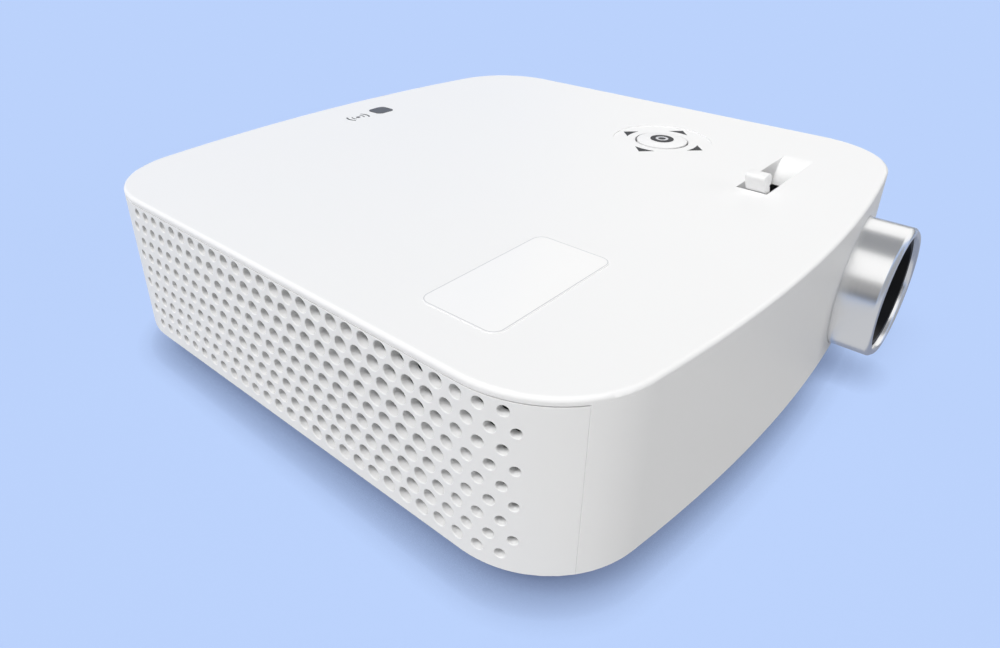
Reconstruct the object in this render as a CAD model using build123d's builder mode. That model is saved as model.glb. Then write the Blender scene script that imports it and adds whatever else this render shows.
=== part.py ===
# Mini projector: flat square case with vented sides, a lens ring at the front,
# a focus lever in a recess of the top cover and a small joystick beside it.
# Millimetres. +Z is up, -Y is the front, and the projector stands on z = 0.
from build123d import *
from math import acos, atan, cos, degrees, radians, sin, sqrt, tan
import os

os.makedirs("parts", exist_ok=True)

# Case
case_width = 170.0         # over the two vented sides
case_depth = 170.0         # over the middle of the bowed front and back
case_height = 49.0         # from the table to the top cover
bow = 9.0                  # fall of the front and back faces over half the width
corner_radius = 25.0
wall = 2.5
top_thickness = 1.5
top_edge_radius = 0.9
skirt_height = 8.0         # lower edge of the walls over the table
skirt_chamfer = 0.8
seam_gap = 0.12            # between two neighbouring wall panels
seam_from_side = 9.6       # from the side face to the seam with the front and rear panels
fit_gap = 0.15             # between a piece and the opening it sits in
rim_width = 1.6            # locating rim under the top cover
rim_depth = 0.7

# Bottom cover, feet and tripod insert
tray_floor = 2.2
tray_inset_top = 5.0       # tray set in from the walls, at their lower edge
tray_inset_bottom = 9.0
flange = 2.0
foot_height = 2.5
foot_radius = 7.0
foot_recess = 0.8          # depth that a foot sits up into the tray
foot_inset = 29.0          # from the sides of the case to the middle of a foot
tripod_radius = 3.175      # quarter inch thread
tripod_depth = 9.0
tripod_wall = 1.8
tripod_boss = 2.0
tripod_y = 6.0             # behind the middle of the case

# Vent pattern: staggered rows that run round onto both corners
hole_width = 3.3
hole_pitch = 4.68
hole_rows = 9
hole_row_pitch = 4.1
hole_top_gap = 3.5         # from the top of the case to the centres of the first row
hole_sides = 6
vent_front_margin = 9.3    # from the seams to the holes of the left side
vent_rear_margin = 15.3
right_columns = 13         # exhaust field beside its fan

# Lens
lens_from_side = 46.8      # axis from the right side of the case
lens_from_top = 22.5
ring_radius = 17.5
ring_bore = 14.5
ring_reach = 9.6           # ring's front edge beyond the middle of the front face
ring_flange_step = 0.9
ring_flange = 1.5
ring_seat_wall = 2.0       # width of the seat round the lens hole
ring_seat_inset = 7.0      # seat behind the middle of the front face
ring_edge_radius = 1.4
baffle_wall = 0.8
baffle_depth = 5.6
baffle_inset = 1.4         # baffle's front edge behind the ring's
baffle_taper = 2.4
running_gap = 0.05
barrel_radius = 11.75
barrel_wall = 1.15
barrel_length = 34.0
barrel_lead = 8.0          # barrel's front end ahead of the holder's
barrel_ring = 0.8          # step that keeps the front lens in
holder_wall = 0.9
holder_length = 33.0
holder_gap = 1.0           # from the lens ring to the holder
holder_flange = 3.0
holder_flange_width = 31.0
focus_ring_radius = 14.5
focus_ring_length = 9.0
focus_turn = 50.0          # degrees that the focus lever turns
focus_travel = 1.6         # travel of the focusing barrel over the full turn
pin_radius = 1.0
pin_gap = 0.3
collar_length = 1.6
collar_step = 0.4          # collar's edge under the focus ring's
glass_gap = 0.03
glass_edge = 2.2           # thickness of the lens elements at their rim
glass_seat = 0.3           # rim of the front lens behind the step
front_crown = 1.7          # bulge of the outermost glass face
glass_crown = 1.1          # bulge of the others
middle_glass_from_front = 15.0
rear_glass_from_front = 29.0

# Focus lever and its recess in the top cover
slot_reach = 13.4          # from the lens axis to either end
slot_from_front = 23.6     # its front edge behind the middle of the front face
slot_width = 8.3
slot_depth = 7.0
slot_wall = 1.2
slot_lip_radius = 7.2      # rounded end that a finger slides down
lever_width = 5.3
lever_thickness = 2.2
lever_front_gap = 0.5
lever_side_gap = 0.35
lever_height = 5.2         # top of the grip over the top cover, at rest
grip_length = 5.7
grip_height = 3.5
grip_nose = 1.9            # rounding of the grip's nose
grip_edge = 0.7            # rounding of its other edges
lever_pad = 1.4
lever_pad_width = 7.0

# Joystick
stick_from_side = 38.2
stick_from_front = 66.2
dish_radius = 15.0
dish_depth = 0.3
cap_radius = 7.6
cap_gap = 0.6
cap_thickness = 1.9
cap_edge = 0.1             # cap's edge under the top cover's face
cap_crown = 0.5
socket_radius = 1.9
socket_depth = 3.0         # socket's end under the top cover's face
socket_floor = 1.2         # socket's bottom under the top cover's face
pivot_depth = 5.2          # tilt centre under the top cover's face
stick_radius = 0.9
stick_block = 2.6
stick_play = 0.6           # between the top of the stick and the socket's bottom
yoke_width = 4.8
yoke_hole = 3.4
yoke_height = 1.8
trunnion_radius = 0.5
trunnion_reach = 0.7       # trunnion's length in the wall that holds it
base_width = 9.6
base_hole = 7.6
base_rise = 1.2            # base's upper edge over the tilt centre
key_board_depth = 7.8      # board's top under the top cover's face
key_board_length = 30.0
key_board_width = 18.0
key_board_inset = 3.5
thin_board = 1.2
boss_radius = 2.0

# Infrared window
window_x = 9.8
window_from_rear = 15.3
window_width = 5.5
window_length = 5.0
window_corner = 1.2
window_thickness = 2.4
ir_board_width = 16.0
ir_board_length = 11.0
ir_board_depth = 5.5
ir_board_inset = 2.5
ir_body = 4.0
ir_gap = 0.3

# Clear film on the top cover
film_from_side = 32.0
film_from_front = 42.5
film_length = 39.0
film_width = 20.0
film_corner = 3.0
film_thickness = 0.12

# Light engine
engine_to_left = 52.2      # from the lens axis to the engine's left and right ends
engine_to_right = 23.8
engine_length = 37.0
engine_drop = 13.5         # from the lens axis to the engine's underside
engine_height = 23.0
engine_wall = 3.0
engine_lid = 2.0
engine_bore = 9.4
led_window = 8.0
prism_width = 20.0
prism_height = 19.5
prism_gap = 0.3            # air gap between its two wedges
prism_from_front = 2.0
chip_width = 20.0
chip_thickness = 3.0
mirror_length = 15.0
mirror_height = 18.0
mirror_thickness = 1.0
red_mirror_to_lens = 42.2
blue_mirror_to_lens = 27.2
led_plate = 14.0
led_plate_thickness = 2.0
led_die = 5.0
led_die_height = 1.2
led_drop = 1.5             # of the lamps under the lens axis
post_radius = 3.0

# Cooling
fan_size = 40.0
fan_depth = 10.0
fan_corner = 3.0
fan_bore = 18.6
fan_hub = 10.5
fan_hub_plate = 1.5
fan_tip_gap = 0.8
fan_axial_gap = 0.5
fan_shaft = 1.5
fan_blades = 7
fan_blade_thickness = 0.9
fan_blade_angle = 35.0
fan_strut = 2.4
fan_side_gap = 9.2         # from the wall's inner face to the frame
fan_floor_gap = 0.3
fan_from_engine = 27.5
sink_length = 38.0
sink_width = 38.0
sink_drop = 9.0            # of the heat sink's underside under the lamps' middle
sink_base = 5.0
sink_height = 26.0
sink_fins = 8
sink_fin = 1.2
sink_gap = 1.5             # to the fan beside it
sink_post_inset = 4.0
pipe_radius = 2.0
pipe_bend = 9.0
pipe_spacing = 5.5
pipe_lead = 4.0            # straight pipe past a bend or a lamp

# Boards, speaker and screws
board_thickness = 1.6
board_height = 9.0
board_gap = 1.5            # from the main board to the left fan and the tripod boss
main_board_right = 42.0
main_board_from_rear = 13.0
chip_size = 15.0
chip_height = 2.0
power_board_from_side = 44.0
power_board_from_front = 49.0
power_board_length = 42.0
power_board_width = 62.0
transformer_size = 18.0
transformer_height = 14.0
capacitor_radius = 5.0
capacitor_height = 20.0
standoff_inset = 4.5
screw_radius = 1.25
screw_gap = 0.1
screw_head = 2.6
screw_head_height = 1.6
screw_bite = 4.0
case_screw_from_side = 19.0
case_screw_from_front = 21.0
case_boss_radius = 3.6
case_boss_split = 24.0
speaker_length = 40.0
speaker_width = 16.0
speaker_height = 30.0
speaker_from_front = 51.0
cone_radius = 12.0
cone_depth = 2.5
cap_dome = 4.0

# Rear sockets
socket_shell = 0.5
socket_inset = 0.8         # socket's mouth behind the rear face
hdmi_x = 18.0
hdmi_width = 15.0
hdmi_height = 5.6
hdmi_length = 14.0
hdmi_tongue = 1.1
usb_x = -8.0
usb_width = 14.4
usb_height = 7.0
usb_length = 16.0
tongue_width = 11.2
tongue_height = 1.5
audio_x = -30.0
audio_width = 7.0
audio_bore = 1.8
audio_length = 14.0
dc_x = -50.0
dc_width = 9.0
dc_height = 11.0
dc_length = 14.0
dc_bore = 3.2
dc_pin = 1.0

# Derived sizes
half_width = case_width / 2
half_depth = case_depth / 2
bow_radius = (half_width**2 + bow**2) / (2 * bow)
corner_x = half_width - corner_radius
corner_y = half_depth - bow_radius + sqrt((bow_radius - corner_radius) ** 2 - corner_x**2)
middle_y = ring_reach / 2  # middle of the case, which centres the whole part on the origin
inner_top = case_height - top_thickness
wall_height = inner_top - skirt_height
tray_bottom = foot_height
floor_top = tray_bottom + tray_floor
seam_x = half_width - seam_from_side
side_reach = corner_y + corner_radius * acos((seam_x - corner_x) / corner_radius)
left_columns = int((2 * side_reach - vent_front_margin - vent_rear_margin) / hole_pitch) - 1
left_shift = (vent_front_margin - vent_rear_margin) / 2
foot_x = half_width - foot_inset
foot_y = half_depth - foot_inset
lens_x = half_width - lens_from_side
lens_z = case_height - lens_from_top
ring_front = -half_depth - ring_reach
ring_seat_radius = ring_radius + fit_gap + ring_seat_wall
seat_y = ring_seat_inset - half_depth
holder_front = seat_y + ring_flange + holder_gap
engine_front = holder_front + holder_length
barrel_front = holder_front - barrel_lead
holder_bore = barrel_radius + running_gap
holder_radius = holder_bore + holder_wall
slot_start = lens_x - slot_reach  # the lever rests at this end
slot_end = lens_x + slot_reach
slot_front = slot_from_front - half_depth
slot_middle = slot_front + slot_width / 2
focus_front = slot_middle - focus_ring_length / 2
pin_y = slot_middle
glass_radius = barrel_radius - barrel_wall - glass_gap
stick_x = half_width - stick_from_side
stick_y = stick_from_front - half_depth
window_y = half_depth - window_from_rear
film_x = film_from_side - half_width
film_y = film_from_front - half_depth
board_top = board_height + board_thickness
fan_z = floor_top + fan_floor_gap + fan_size / 2


# Horizontal plane at a point that is given from the middle of the case
def at(x, y, z):
    return Plane(origin=(x, middle_y + y, z))


# Upright plane that faces the front, x to the right and y up
def facing_front(x, y, z):
    return Plane(origin=(x, middle_y + y, z), x_dir=(1, 0, 0), z_dir=(0, -1, 0))


# Upright plane that faces the left or right side, y up
def facing_side(side, x, y, z):
    return Plane(origin=(side * x, middle_y + y, z), x_dir=(0, side, 0), z_dir=(side, 0, 0))


# Plan of the case, drawn in by the inset all round
def case_plan(inset):
    with BuildSketch() as plan:
        Rectangle(case_width - 2 * inset, 2 * case_depth)
        for side in (-1, 1):
            with Locations((0, side * (bow_radius - half_depth))):
                Circle(bow_radius - inset, mode=Mode.INTERSECT)
        fillet(plan.vertices(), corner_radius - inset)
    return plan.sketch


# Distance of the rear face from the middle of the case, at x
def face_y(x):
    return half_depth - bow_radius + sqrt(bow_radius**2 - x**2)


# The four walls in one, with their chamfered lower edge, before the seams part them
def wall_band():
    with BuildPart() as band:
        with BuildSketch(at(0, 0, skirt_height)):
            add(case_plan(skirt_chamfer))
        with BuildSketch(at(0, 0, skirt_height + skirt_chamfer)):
            add(case_plan(0))
        loft()
        with BuildSketch(at(0, 0, skirt_height + skirt_chamfer)):
            add(case_plan(0))
        extrude(amount=wall_height - skirt_chamfer)
        with BuildSketch(at(0, 0, skirt_height)):
            add(case_plan(wall))
        extrude(amount=wall_height, mode=Mode.SUBTRACT)
    return band.part


# Plane on a side wall at an arc length from its middle, facing out, y up
def side_column(side, arc):
    turn = max(abs(arc) - corner_y, 0) / corner_radius
    sign = 1 if arc > 0 else -1
    x = corner_x + corner_radius * cos(turn)
    y = sign * (min(abs(arc), corner_y) + corner_radius * sin(turn))
    normal = (side * cos(turn), sign * sin(turn), 0)
    along = (-normal[1], normal[0], 0)
    return Plane(origin=(side * x, middle_y + y, 0), x_dir=along, z_dir=normal)


# All holes of one side. Even rows have one hole less than the staggered rows between them.
def vent_holes(side, columns, shift):
    heights = [case_height - hole_top_gap - row * hole_row_pitch for row in range(hole_rows)]
    holes = []
    for stagger in (0, 1):
        count = columns + stagger
        for column in range(count):
            arc = shift + (column - (count - 1) / 2) * hole_pitch
            with BuildSketch(side_column(side, arc)) as column_of_holes:
                with Locations(*[(0, height) for height in heights[stagger::2]]):
                    RegularPolygon(hole_width / 2, hole_sides, major_radius=False)
            holes += extrude(column_of_holes.sketch, amount=2 * wall, both=True).solids()
    return holes


# Solid turned about the lens axis from points of radius and depth
def turned(*points):
    with BuildPart() as solid:
        with BuildSketch(Plane(origin=(lens_x, middle_y, lens_z))):
            with BuildLine():
                Polyline(*points, close=True)
            make_face()
        revolve(axis=Axis((lens_x, middle_y, lens_z), (0, 1, 0)))
    return solid.part


# Lens element between two depths of its edge, bulging by the two crowns
def lens_element(edge_front, crown_front, crown_rear):
    edge_rear = edge_front + glass_edge
    with BuildPart() as glass:
        with BuildSketch(Plane(origin=(lens_x, middle_y, lens_z))):
            with BuildLine():
                ThreePointArc((-glass_radius, edge_front), (0, edge_front - crown_front), (glass_radius, edge_front))
                Line((glass_radius, edge_front), (glass_radius, edge_rear))
                ThreePointArc((glass_radius, edge_rear), (0, edge_rear + crown_rear), (-glass_radius, edge_rear))
                Line((-glass_radius, edge_rear), (-glass_radius, edge_front))
            make_face()
            split(bisect_by=Plane.YZ)
        revolve(axis=Axis((lens_x, middle_y, lens_z), (0, 1, 0)))
    return glass.part


# Screw that points up or down from the underside of its head
def screw(x, y, seat_z, length, up):
    with BuildPart() as fastener:
        with BuildSketch(at(x, y, seat_z)):
            Circle(screw_head)
        extrude(amount=screw_head_height * (-1 if up else 1))
        with BuildSketch(at(x, y, seat_z)):
            Circle(screw_radius)
        extrude(amount=length * (1 if up else -1))
    return fastener.part


# Places of the light engine, the cooling and the boards
engine_left = lens_x - engine_to_left
engine_right = lens_x + engine_to_right
engine_x = (engine_left + engine_right) / 2
engine_width = engine_right - engine_left
engine_rear = engine_front + engine_length
engine_y = engine_front + engine_length / 2
engine_bottom = lens_z - engine_drop
red_mirror_x = lens_x - red_mirror_to_lens
blue_mirror_x = lens_x - blue_mirror_to_lens
led_z = lens_z - led_drop
fan_y = engine_rear + fan_from_engine
fan_inner_x = half_width - wall - fan_side_gap - fan_depth
sink_right = fan_inner_x - sink_gap
sink_left = sink_right - sink_length
sink_x = (sink_left + sink_right) / 2
sink_bottom = led_z - sink_drop
main_board_left = board_gap - fan_inner_x
main_board_x = (main_board_left + main_board_right) / 2
main_board_length = main_board_right - main_board_left
main_board_rear = half_depth - main_board_from_rear
main_board_front = tripod_y + tripod_radius + tripod_wall + tripod_boss + board_gap
main_board_y = (main_board_front + main_board_rear) / 2
main_board_width = main_board_rear - main_board_front
power_board_x = power_board_from_side - half_width
power_board_y = power_board_from_front - half_depth
speaker_y = speaker_from_front - half_depth
case_screw_x = half_width - case_screw_from_side
case_screw_y = half_depth - case_screw_from_front
case_screws_at = [(x, y) for x in (-case_screw_x, case_screw_x) for y in (-case_screw_y, case_screw_y)]


def board_corners(x, y, length, width, inset):
    reach_x = length / 2 - inset
    reach_y = width / 2 - inset
    return [(x + i * reach_x, y + j * reach_y) for i in (-1, 1) for j in (-1, 1)]


board_screws_at = board_corners(
    main_board_x, main_board_y, main_board_length, main_board_width, standoff_inset
) + board_corners(
    power_board_x, power_board_y, power_board_length, power_board_width, standoff_inset
)
key_bosses_at = [(stick_x + i * (key_board_length / 2 - key_board_inset), stick_y) for i in (-1, 1)]
ir_bosses_at = [(window_x + i * (ir_board_width / 2 - ir_board_inset), window_y) for i in (-1, 1)]
engine_posts_at = [
    (engine_left + 2 * post_radius, engine_front + 2 * post_radius),
    (engine_right - 2 * post_radius, engine_front + 2 * post_radius),
    (engine_x, engine_rear - 2 * post_radius),
]
sink_posts_at = [
    (sink_left + sink_post_inset, fan_y - sink_width / 2 + sink_post_inset),
    (sink_right - sink_post_inset, fan_y - sink_width / 2 + sink_post_inset),
]

# Top cover: plate with a rounded edge, locating rim, lever recess, joystick dish and bosses
with BuildPart() as top_cover:
    with BuildSketch(at(0, 0, inner_top)):
        add(case_plan(0))
    extrude(amount=top_thickness)
    fillet(top_cover.faces().sort_by(Axis.Z)[-1].edges(), top_edge_radius)
    with BuildSketch(at(0, 0, inner_top)):
        add(case_plan(wall + fit_gap))
        add(case_plan(wall + fit_gap + rim_width), mode=Mode.SUBTRACT)
    extrude(amount=-rim_depth)
    # block round the lever recess, then the recess with its rounded end
    with BuildSketch(facing_front(0, slot_middle + slot_width / 2 + slot_wall, 0)):
        with Locations((slot_start - slot_wall, case_height - slot_depth)):
            block_length = slot_end - slot_start + slot_wall + slot_lip_radius
            Rectangle(block_length, slot_depth - top_thickness, align=(Align.MIN, Align.MIN))
    extrude(amount=slot_width + 2 * slot_wall)
    with BuildSketch(facing_front(0, slot_middle + slot_width / 2, 0)):
        with BuildLine():
            below = case_height - slot_depth - slot_lip_radius
            above = case_height + top_thickness
            shoulder = Line((slot_end, below), (slot_end, case_height - slot_lip_radius))
            lip = RadiusArc(shoulder @ 1, (slot_end + slot_lip_radius, case_height), slot_lip_radius)
            Polyline(lip @ 1, (slot_end + slot_lip_radius, above), (slot_start, above), (slot_start, below), shoulder @ 0)
        make_face()
    extrude(amount=slot_width, mode=Mode.SUBTRACT)
    # joystick
    with BuildSketch(at(stick_x, stick_y, case_height - dish_depth)):
        Circle(dish_radius)
    extrude(amount=dish_depth, mode=Mode.SUBTRACT)
    with BuildSketch(at(stick_x, stick_y, case_height)):
        Circle(cap_radius + cap_gap)
    extrude(amount=-top_thickness, mode=Mode.SUBTRACT)
    # infrared window
    with BuildSketch(at(window_x, window_y, case_height)):
        RectangleRounded(window_width, window_length, window_corner)
    extrude(amount=-top_thickness, mode=Mode.SUBTRACT)
    # bosses for the two small boards and for the case screws
    with BuildSketch(at(0, 0, inner_top)):
        with Locations(*key_bosses_at):
            Circle(boss_radius)
    extrude(amount=top_thickness - key_board_depth)
    with BuildSketch(at(0, 0, inner_top)):
        with Locations(*ir_bosses_at):
            Circle(boss_radius)
    extrude(amount=top_thickness - ir_board_depth)
    with BuildSketch(at(0, 0, inner_top)):
        with Locations(*case_screws_at):
            Circle(case_boss_radius)
            Circle(screw_radius + screw_gap, mode=Mode.SUBTRACT)
    extrude(amount=case_boss_split - inner_top)

# Left and right panels: each wraps round both of its corners, up to the seams
band = wall_band()
left_holes = vent_holes(-1, left_columns, left_shift)
right_holes = vent_holes(1, right_columns, fan_y)
with BuildPart() as left_vent_panel:
    add(band)
    split(bisect_by=Plane.YZ.offset(-seam_x - seam_gap / 2), keep=Keep.BOTTOM)
    add(left_holes, mode=Mode.SUBTRACT)

with BuildPart() as right_vent_panel:
    add(band)
    split(bisect_by=Plane.YZ.offset(seam_x + seam_gap / 2), keep=Keep.TOP)
    add(right_holes, mode=Mode.SUBTRACT)


# Front or rear wall between the seams
def bowed_wall(side):
    with BuildPart() as bowed:
        add(band)
        split(bisect_by=Plane.YZ.offset(seam_gap / 2 - seam_x), keep=Keep.TOP)
        split(bisect_by=Plane.YZ.offset(seam_x - seam_gap / 2), keep=Keep.BOTTOM)
        split(bisect_by=Plane(origin=(0, middle_y, 0), z_dir=(0, side, 0)), keep=Keep.TOP)
    return bowed.part


# Front panel with a flat seat for the lens ring behind the bowed wall
with BuildPart() as front_panel:
    with BuildSketch(facing_front(lens_x, seat_y, lens_z)):
        Circle(ring_seat_radius)
    extrude(amount=ring_seat_inset)
    with BuildSketch(at(0, 0, skirt_height)):
        add(case_plan(wall / 2))
    extrude(amount=wall_height, mode=Mode.INTERSECT)
    add(bowed_wall(-1))
    with BuildSketch(facing_front(lens_x, seat_y, lens_z)):
        Circle(ring_radius + fit_gap)
    extrude(amount=ring_seat_inset, mode=Mode.SUBTRACT)

# Rear panel with a cut-out round each socket
with BuildPart() as rear_panel:
    add(bowed_wall(1))
    with BuildSketch(facing_front(0, half_depth, board_top)):
        with Locations((hdmi_x, hdmi_height / 2)):
            Rectangle(hdmi_width + 2 * fit_gap, hdmi_height + 2 * fit_gap)
        with Locations((usb_x, usb_height / 2)):
            Rectangle(usb_width + 2 * fit_gap, usb_height + 2 * fit_gap)
        with Locations((audio_x, audio_width / 2)):
            Rectangle(audio_width + 2 * fit_gap, audio_width + 2 * fit_gap)
        with Locations((dc_x, dc_height / 2)):
            Rectangle(dc_width + 2 * fit_gap, dc_height + 2 * fit_gap)
    extrude(amount=bow + wall, both=True, mode=Mode.SUBTRACT)

# Bottom cover: tapered tray with a flange inside the walls, posts and screw bosses
with BuildPart() as bottom_cover:
    with BuildSketch(at(0, 0, tray_bottom)):
        add(case_plan(tray_inset_bottom))
    with BuildSketch(at(0, 0, skirt_height)):
        add(case_plan(tray_inset_top))
    loft()
    with BuildSketch(at(0, 0, skirt_height)):
        add(case_plan(wall + fit_gap))
    extrude(amount=flange)
    with BuildSketch(at(0, 0, floor_top)):
        add(case_plan(tray_inset_bottom + tray_floor))
    with BuildSketch(at(0, 0, skirt_height + flange)):
        add(case_plan(tray_inset_top + tray_floor))
    loft(mode=Mode.SUBTRACT)
    # notch in the flange for the seat of the lens ring
    with BuildSketch(at(lens_x, -half_depth, skirt_height)):
        Rectangle(2 * ring_seat_radius, 2 * (ring_seat_inset + ring_flange + fit_gap))
    extrude(amount=flange, mode=Mode.SUBTRACT)
    with BuildSketch(at(0, 0, floor_top)):
        with Locations(*case_screws_at):
            Circle(case_boss_radius)
    extrude(amount=case_boss_split - floor_top)
    with BuildSketch(at(0, 0, floor_top)):
        with Locations(*board_screws_at):
            Circle(post_radius)
    extrude(amount=board_height - floor_top)
    with BuildSketch(at(0, 0, floor_top)):
        with Locations(*engine_posts_at):
            Circle(post_radius)
    extrude(amount=engine_bottom - floor_top)
    with BuildSketch(at(0, 0, floor_top)):
        with Locations(*sink_posts_at):
            Circle(post_radius)
    extrude(amount=sink_bottom - floor_top)
    with BuildSketch(at(0, tripod_y, tray_bottom)):
        Circle(tripod_radius + tripod_wall + tripod_boss)
    extrude(amount=tripod_depth + tripod_boss)
    with BuildSketch(at(0, tripod_y, tray_bottom)):
        Circle(tripod_radius + tripod_wall)
    extrude(amount=tripod_depth, mode=Mode.SUBTRACT)
    with BuildSketch(at(0, 0, tray_bottom)):
        with GridLocations(2 * foot_x, 2 * foot_y, 2, 2):
            Circle(foot_radius)
    extrude(amount=foot_recess, mode=Mode.SUBTRACT)
    with BuildSketch(at(0, 0, tray_bottom)):
        with Locations(*case_screws_at):
            Circle(screw_radius + screw_gap)
    extrude(amount=case_boss_split - tray_bottom, mode=Mode.SUBTRACT)
    with BuildSketch(at(0, 0, tray_bottom)):
        with Locations(*case_screws_at):
            Circle(screw_head + screw_gap)
    extrude(amount=screw_head_height, mode=Mode.SUBTRACT)
    with BuildSketch(at(0, 0, board_height)):
        with Locations(*board_screws_at):
            Circle(screw_radius + screw_gap)
    extrude(amount=-screw_bite, mode=Mode.SUBTRACT)

with BuildPart() as tripod_insert:
    with BuildSketch(at(0, tripod_y, tray_bottom)):
        Circle(tripod_radius + tripod_wall)
        Circle(tripod_radius, mode=Mode.SUBTRACT)
    extrude(amount=tripod_depth)


# Rubber foot, rounded where it meets the table
def rubber_foot(x, y):
    with BuildPart() as foot:
        with BuildSketch(at(x, y, 0)):
            Circle(foot_radius)
        extrude(amount=foot_height + foot_recess)
        chamfer(foot.faces().sort_by(Axis.Z)[0].edges(), foot_recess)
    return foot.part


# Lens ring: aluminium sleeve through the front panel, with a flange behind it
with BuildPart() as lens_ring:
    add(
        turned(
            (ring_bore, ring_front),
            (ring_radius, ring_front),
            (ring_radius, seat_y),
            (ring_radius + ring_flange_step, seat_y),
            (ring_radius + ring_flange_step, seat_y + ring_flange),
            (ring_bore, seat_y + ring_flange),
        )
    )
    front_edges = lens_ring.faces().sort_by(Axis.Y)[0].edges().sort_by(SortBy.RADIUS)
    fillet(front_edges[-1], ring_edge_radius)
    chamfer(front_edges[0], ring_edge_radius / 3)

with BuildPart() as lens_baffle:
    baffle_front = ring_front + baffle_inset
    add(
        turned(
            (ring_bore - baffle_wall, baffle_front),
            (ring_bore, baffle_front),
            (ring_bore - baffle_taper, baffle_front + baffle_depth),
            (ring_bore - baffle_taper - baffle_wall, baffle_front + baffle_depth),
        )
    )

# Lens holder: fixed sleeve with a slot for the drive pin, a shoulder and a square flange
with BuildPart() as lens_holder:
    shoulder_y = focus_front + focus_ring_length + running_gap
    shoulder_radius = focus_ring_radius - collar_step
    add(
        turned(
            (holder_bore, holder_front),
            (holder_radius, holder_front),
            (holder_radius, shoulder_y),
            (shoulder_radius, shoulder_y),
            (shoulder_radius, shoulder_y + collar_length),
            (holder_radius, shoulder_y + collar_length),
            (holder_radius, engine_front),
            (holder_bore, engine_front),
        )
    )
    with BuildSketch(facing_front(lens_x, engine_front, lens_z)):
        RectangleRounded(holder_flange_width, holder_flange_width, holder_flange)
        Circle(holder_bore, mode=Mode.SUBTRACT)
    extrude(amount=holder_flange)
    with BuildSketch(at(lens_x, pin_y - focus_travel / 2, lens_z)):
        Rectangle(2 * (pin_radius + pin_gap), focus_travel + 2 * (pin_radius + pin_gap))
    extrude(amount=-focus_ring_radius, mode=Mode.SUBTRACT)

with BuildPart() as retaining_collar:
    collar_rear = focus_front - running_gap
    add(
        turned(
            (holder_radius, collar_rear - collar_length),
            (shoulder_radius, collar_rear - collar_length),
            (shoulder_radius, collar_rear),
            (holder_radius, collar_rear),
        )
    )

# Focus ring with the slanted slot that moves the drive pin along the lens axis
with BuildPart() as focus_ring:
    half_turn = radians(focus_turn / 2)
    slot_angle = half_turn - radians(90)
    outward = (cos(slot_angle), 0, sin(slot_angle))
    around = (-sin(slot_angle), 0, cos(slot_angle))
    cam_reach = 2 * focus_ring_radius * sin(half_turn)
    cam_slope = degrees(atan(focus_travel / (2 * holder_radius * sin(half_turn) + focus_ring_radius - holder_radius)))
    add(
        turned(
            (holder_radius + running_gap, focus_front),
            (focus_ring_radius, focus_front),
            (focus_ring_radius, focus_front + focus_ring_length),
            (holder_radius + running_gap, focus_front + focus_ring_length),
        )
    )
    cam_origin = (lens_x, middle_y + pin_y - focus_travel / 2, lens_z)
    with BuildSketch(Plane(origin=cam_origin, x_dir=around, z_dir=outward)):
        SlotCenterToCenter(cam_reach, 2 * (pin_radius + pin_gap), rotation=cam_slope)
    extrude(amount=2 * focus_ring_radius, mode=Mode.SUBTRACT)

# Focus lever: arm from the focus ring up through the recess, with a finger grip
with BuildPart() as focus_lever:
    # the arm's left face points at the lens axis
    lean = atan((lens_x - slot_start - lever_side_gap) / (case_height - lens_z))
    lever_rear = slot_front + lever_front_gap + lever_width
    grip_top = case_height + lever_height - lens_z
    grip_low = grip_top - grip_height
    grip_left = -grip_top * tan(lean)
    arm_span = lever_thickness / cos(lean)
    with BuildSketch(facing_front(lens_x, lever_rear, lens_z)) as lever_side:
        with BuildLine():
            Polyline(
                (0, 0),
                (grip_left, grip_top),
                (grip_left + grip_length, grip_top),
                (grip_left + grip_length, grip_low),
                (arm_span - grip_low * tan(lean), grip_low),
                (arm_span, 0),
                close=True,
            )
        make_face()
        tip_left, tip_right = lever_side.vertices().group_by(Axis.Y)[-1].sort_by(Axis.X)
        nose_low = lever_side.vertices().group_by(Axis.Y)[-2].sort_by(Axis.X)[-1]
        fillet(tip_right, grip_nose)
        fillet([tip_left, nose_low], grip_edge)
    extrude(amount=lever_width)
    with BuildSketch(facing_front(lens_x, lever_rear, lens_z)):
        with Locations(Location((0, 0, 0), (0, 0, degrees(lean)))):
            with Locations((lever_thickness / 2, (focus_ring_radius + lever_pad) / 2)):
                Rectangle(lever_pad_width, focus_ring_radius + lever_pad)
    extrude(amount=lever_width)
    with BuildSketch(facing_front(lens_x, lever_rear, lens_z)):
        Circle(focus_ring_radius)
    extrude(amount=lever_width, mode=Mode.SUBTRACT)

# Focusing barrel with the drive pin and the three lens elements
with BuildPart() as focusing_barrel:
    barrel_rear = barrel_front + barrel_length
    barrel_bore = barrel_radius - barrel_wall
    add(
        turned(
            (barrel_bore - barrel_ring, barrel_front),
            (barrel_radius, barrel_front),
            (barrel_radius, barrel_rear),
            (barrel_bore, barrel_rear),
            (barrel_bore, barrel_front + barrel_ring),
            (barrel_bore - barrel_ring, barrel_front + barrel_ring),
        )
    )
    with BuildSketch(at(lens_x, pin_y, lens_z)):
        Circle(pin_radius)
    extrude(amount=-2 * barrel_radius, mode=Mode.SUBTRACT)

with BuildPart() as focus_pin:
    with BuildSketch(at(lens_x, pin_y, lens_z - (barrel_bore + barrel_radius) / 2)):
        Circle(pin_radius)
    extrude(amount=(barrel_bore + barrel_radius) / 2 - focus_ring_radius + pin_gap)

with BuildPart() as front_lens:
    add(lens_element(barrel_front + barrel_ring + glass_seat, front_crown, glass_crown))

with BuildPart() as middle_lens:
    add(lens_element(barrel_front + middle_glass_from_front, glass_crown, glass_crown))

with BuildPart() as rear_lens:
    add(lens_element(barrel_front + rear_glass_from_front, glass_crown, glass_crown))

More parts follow.
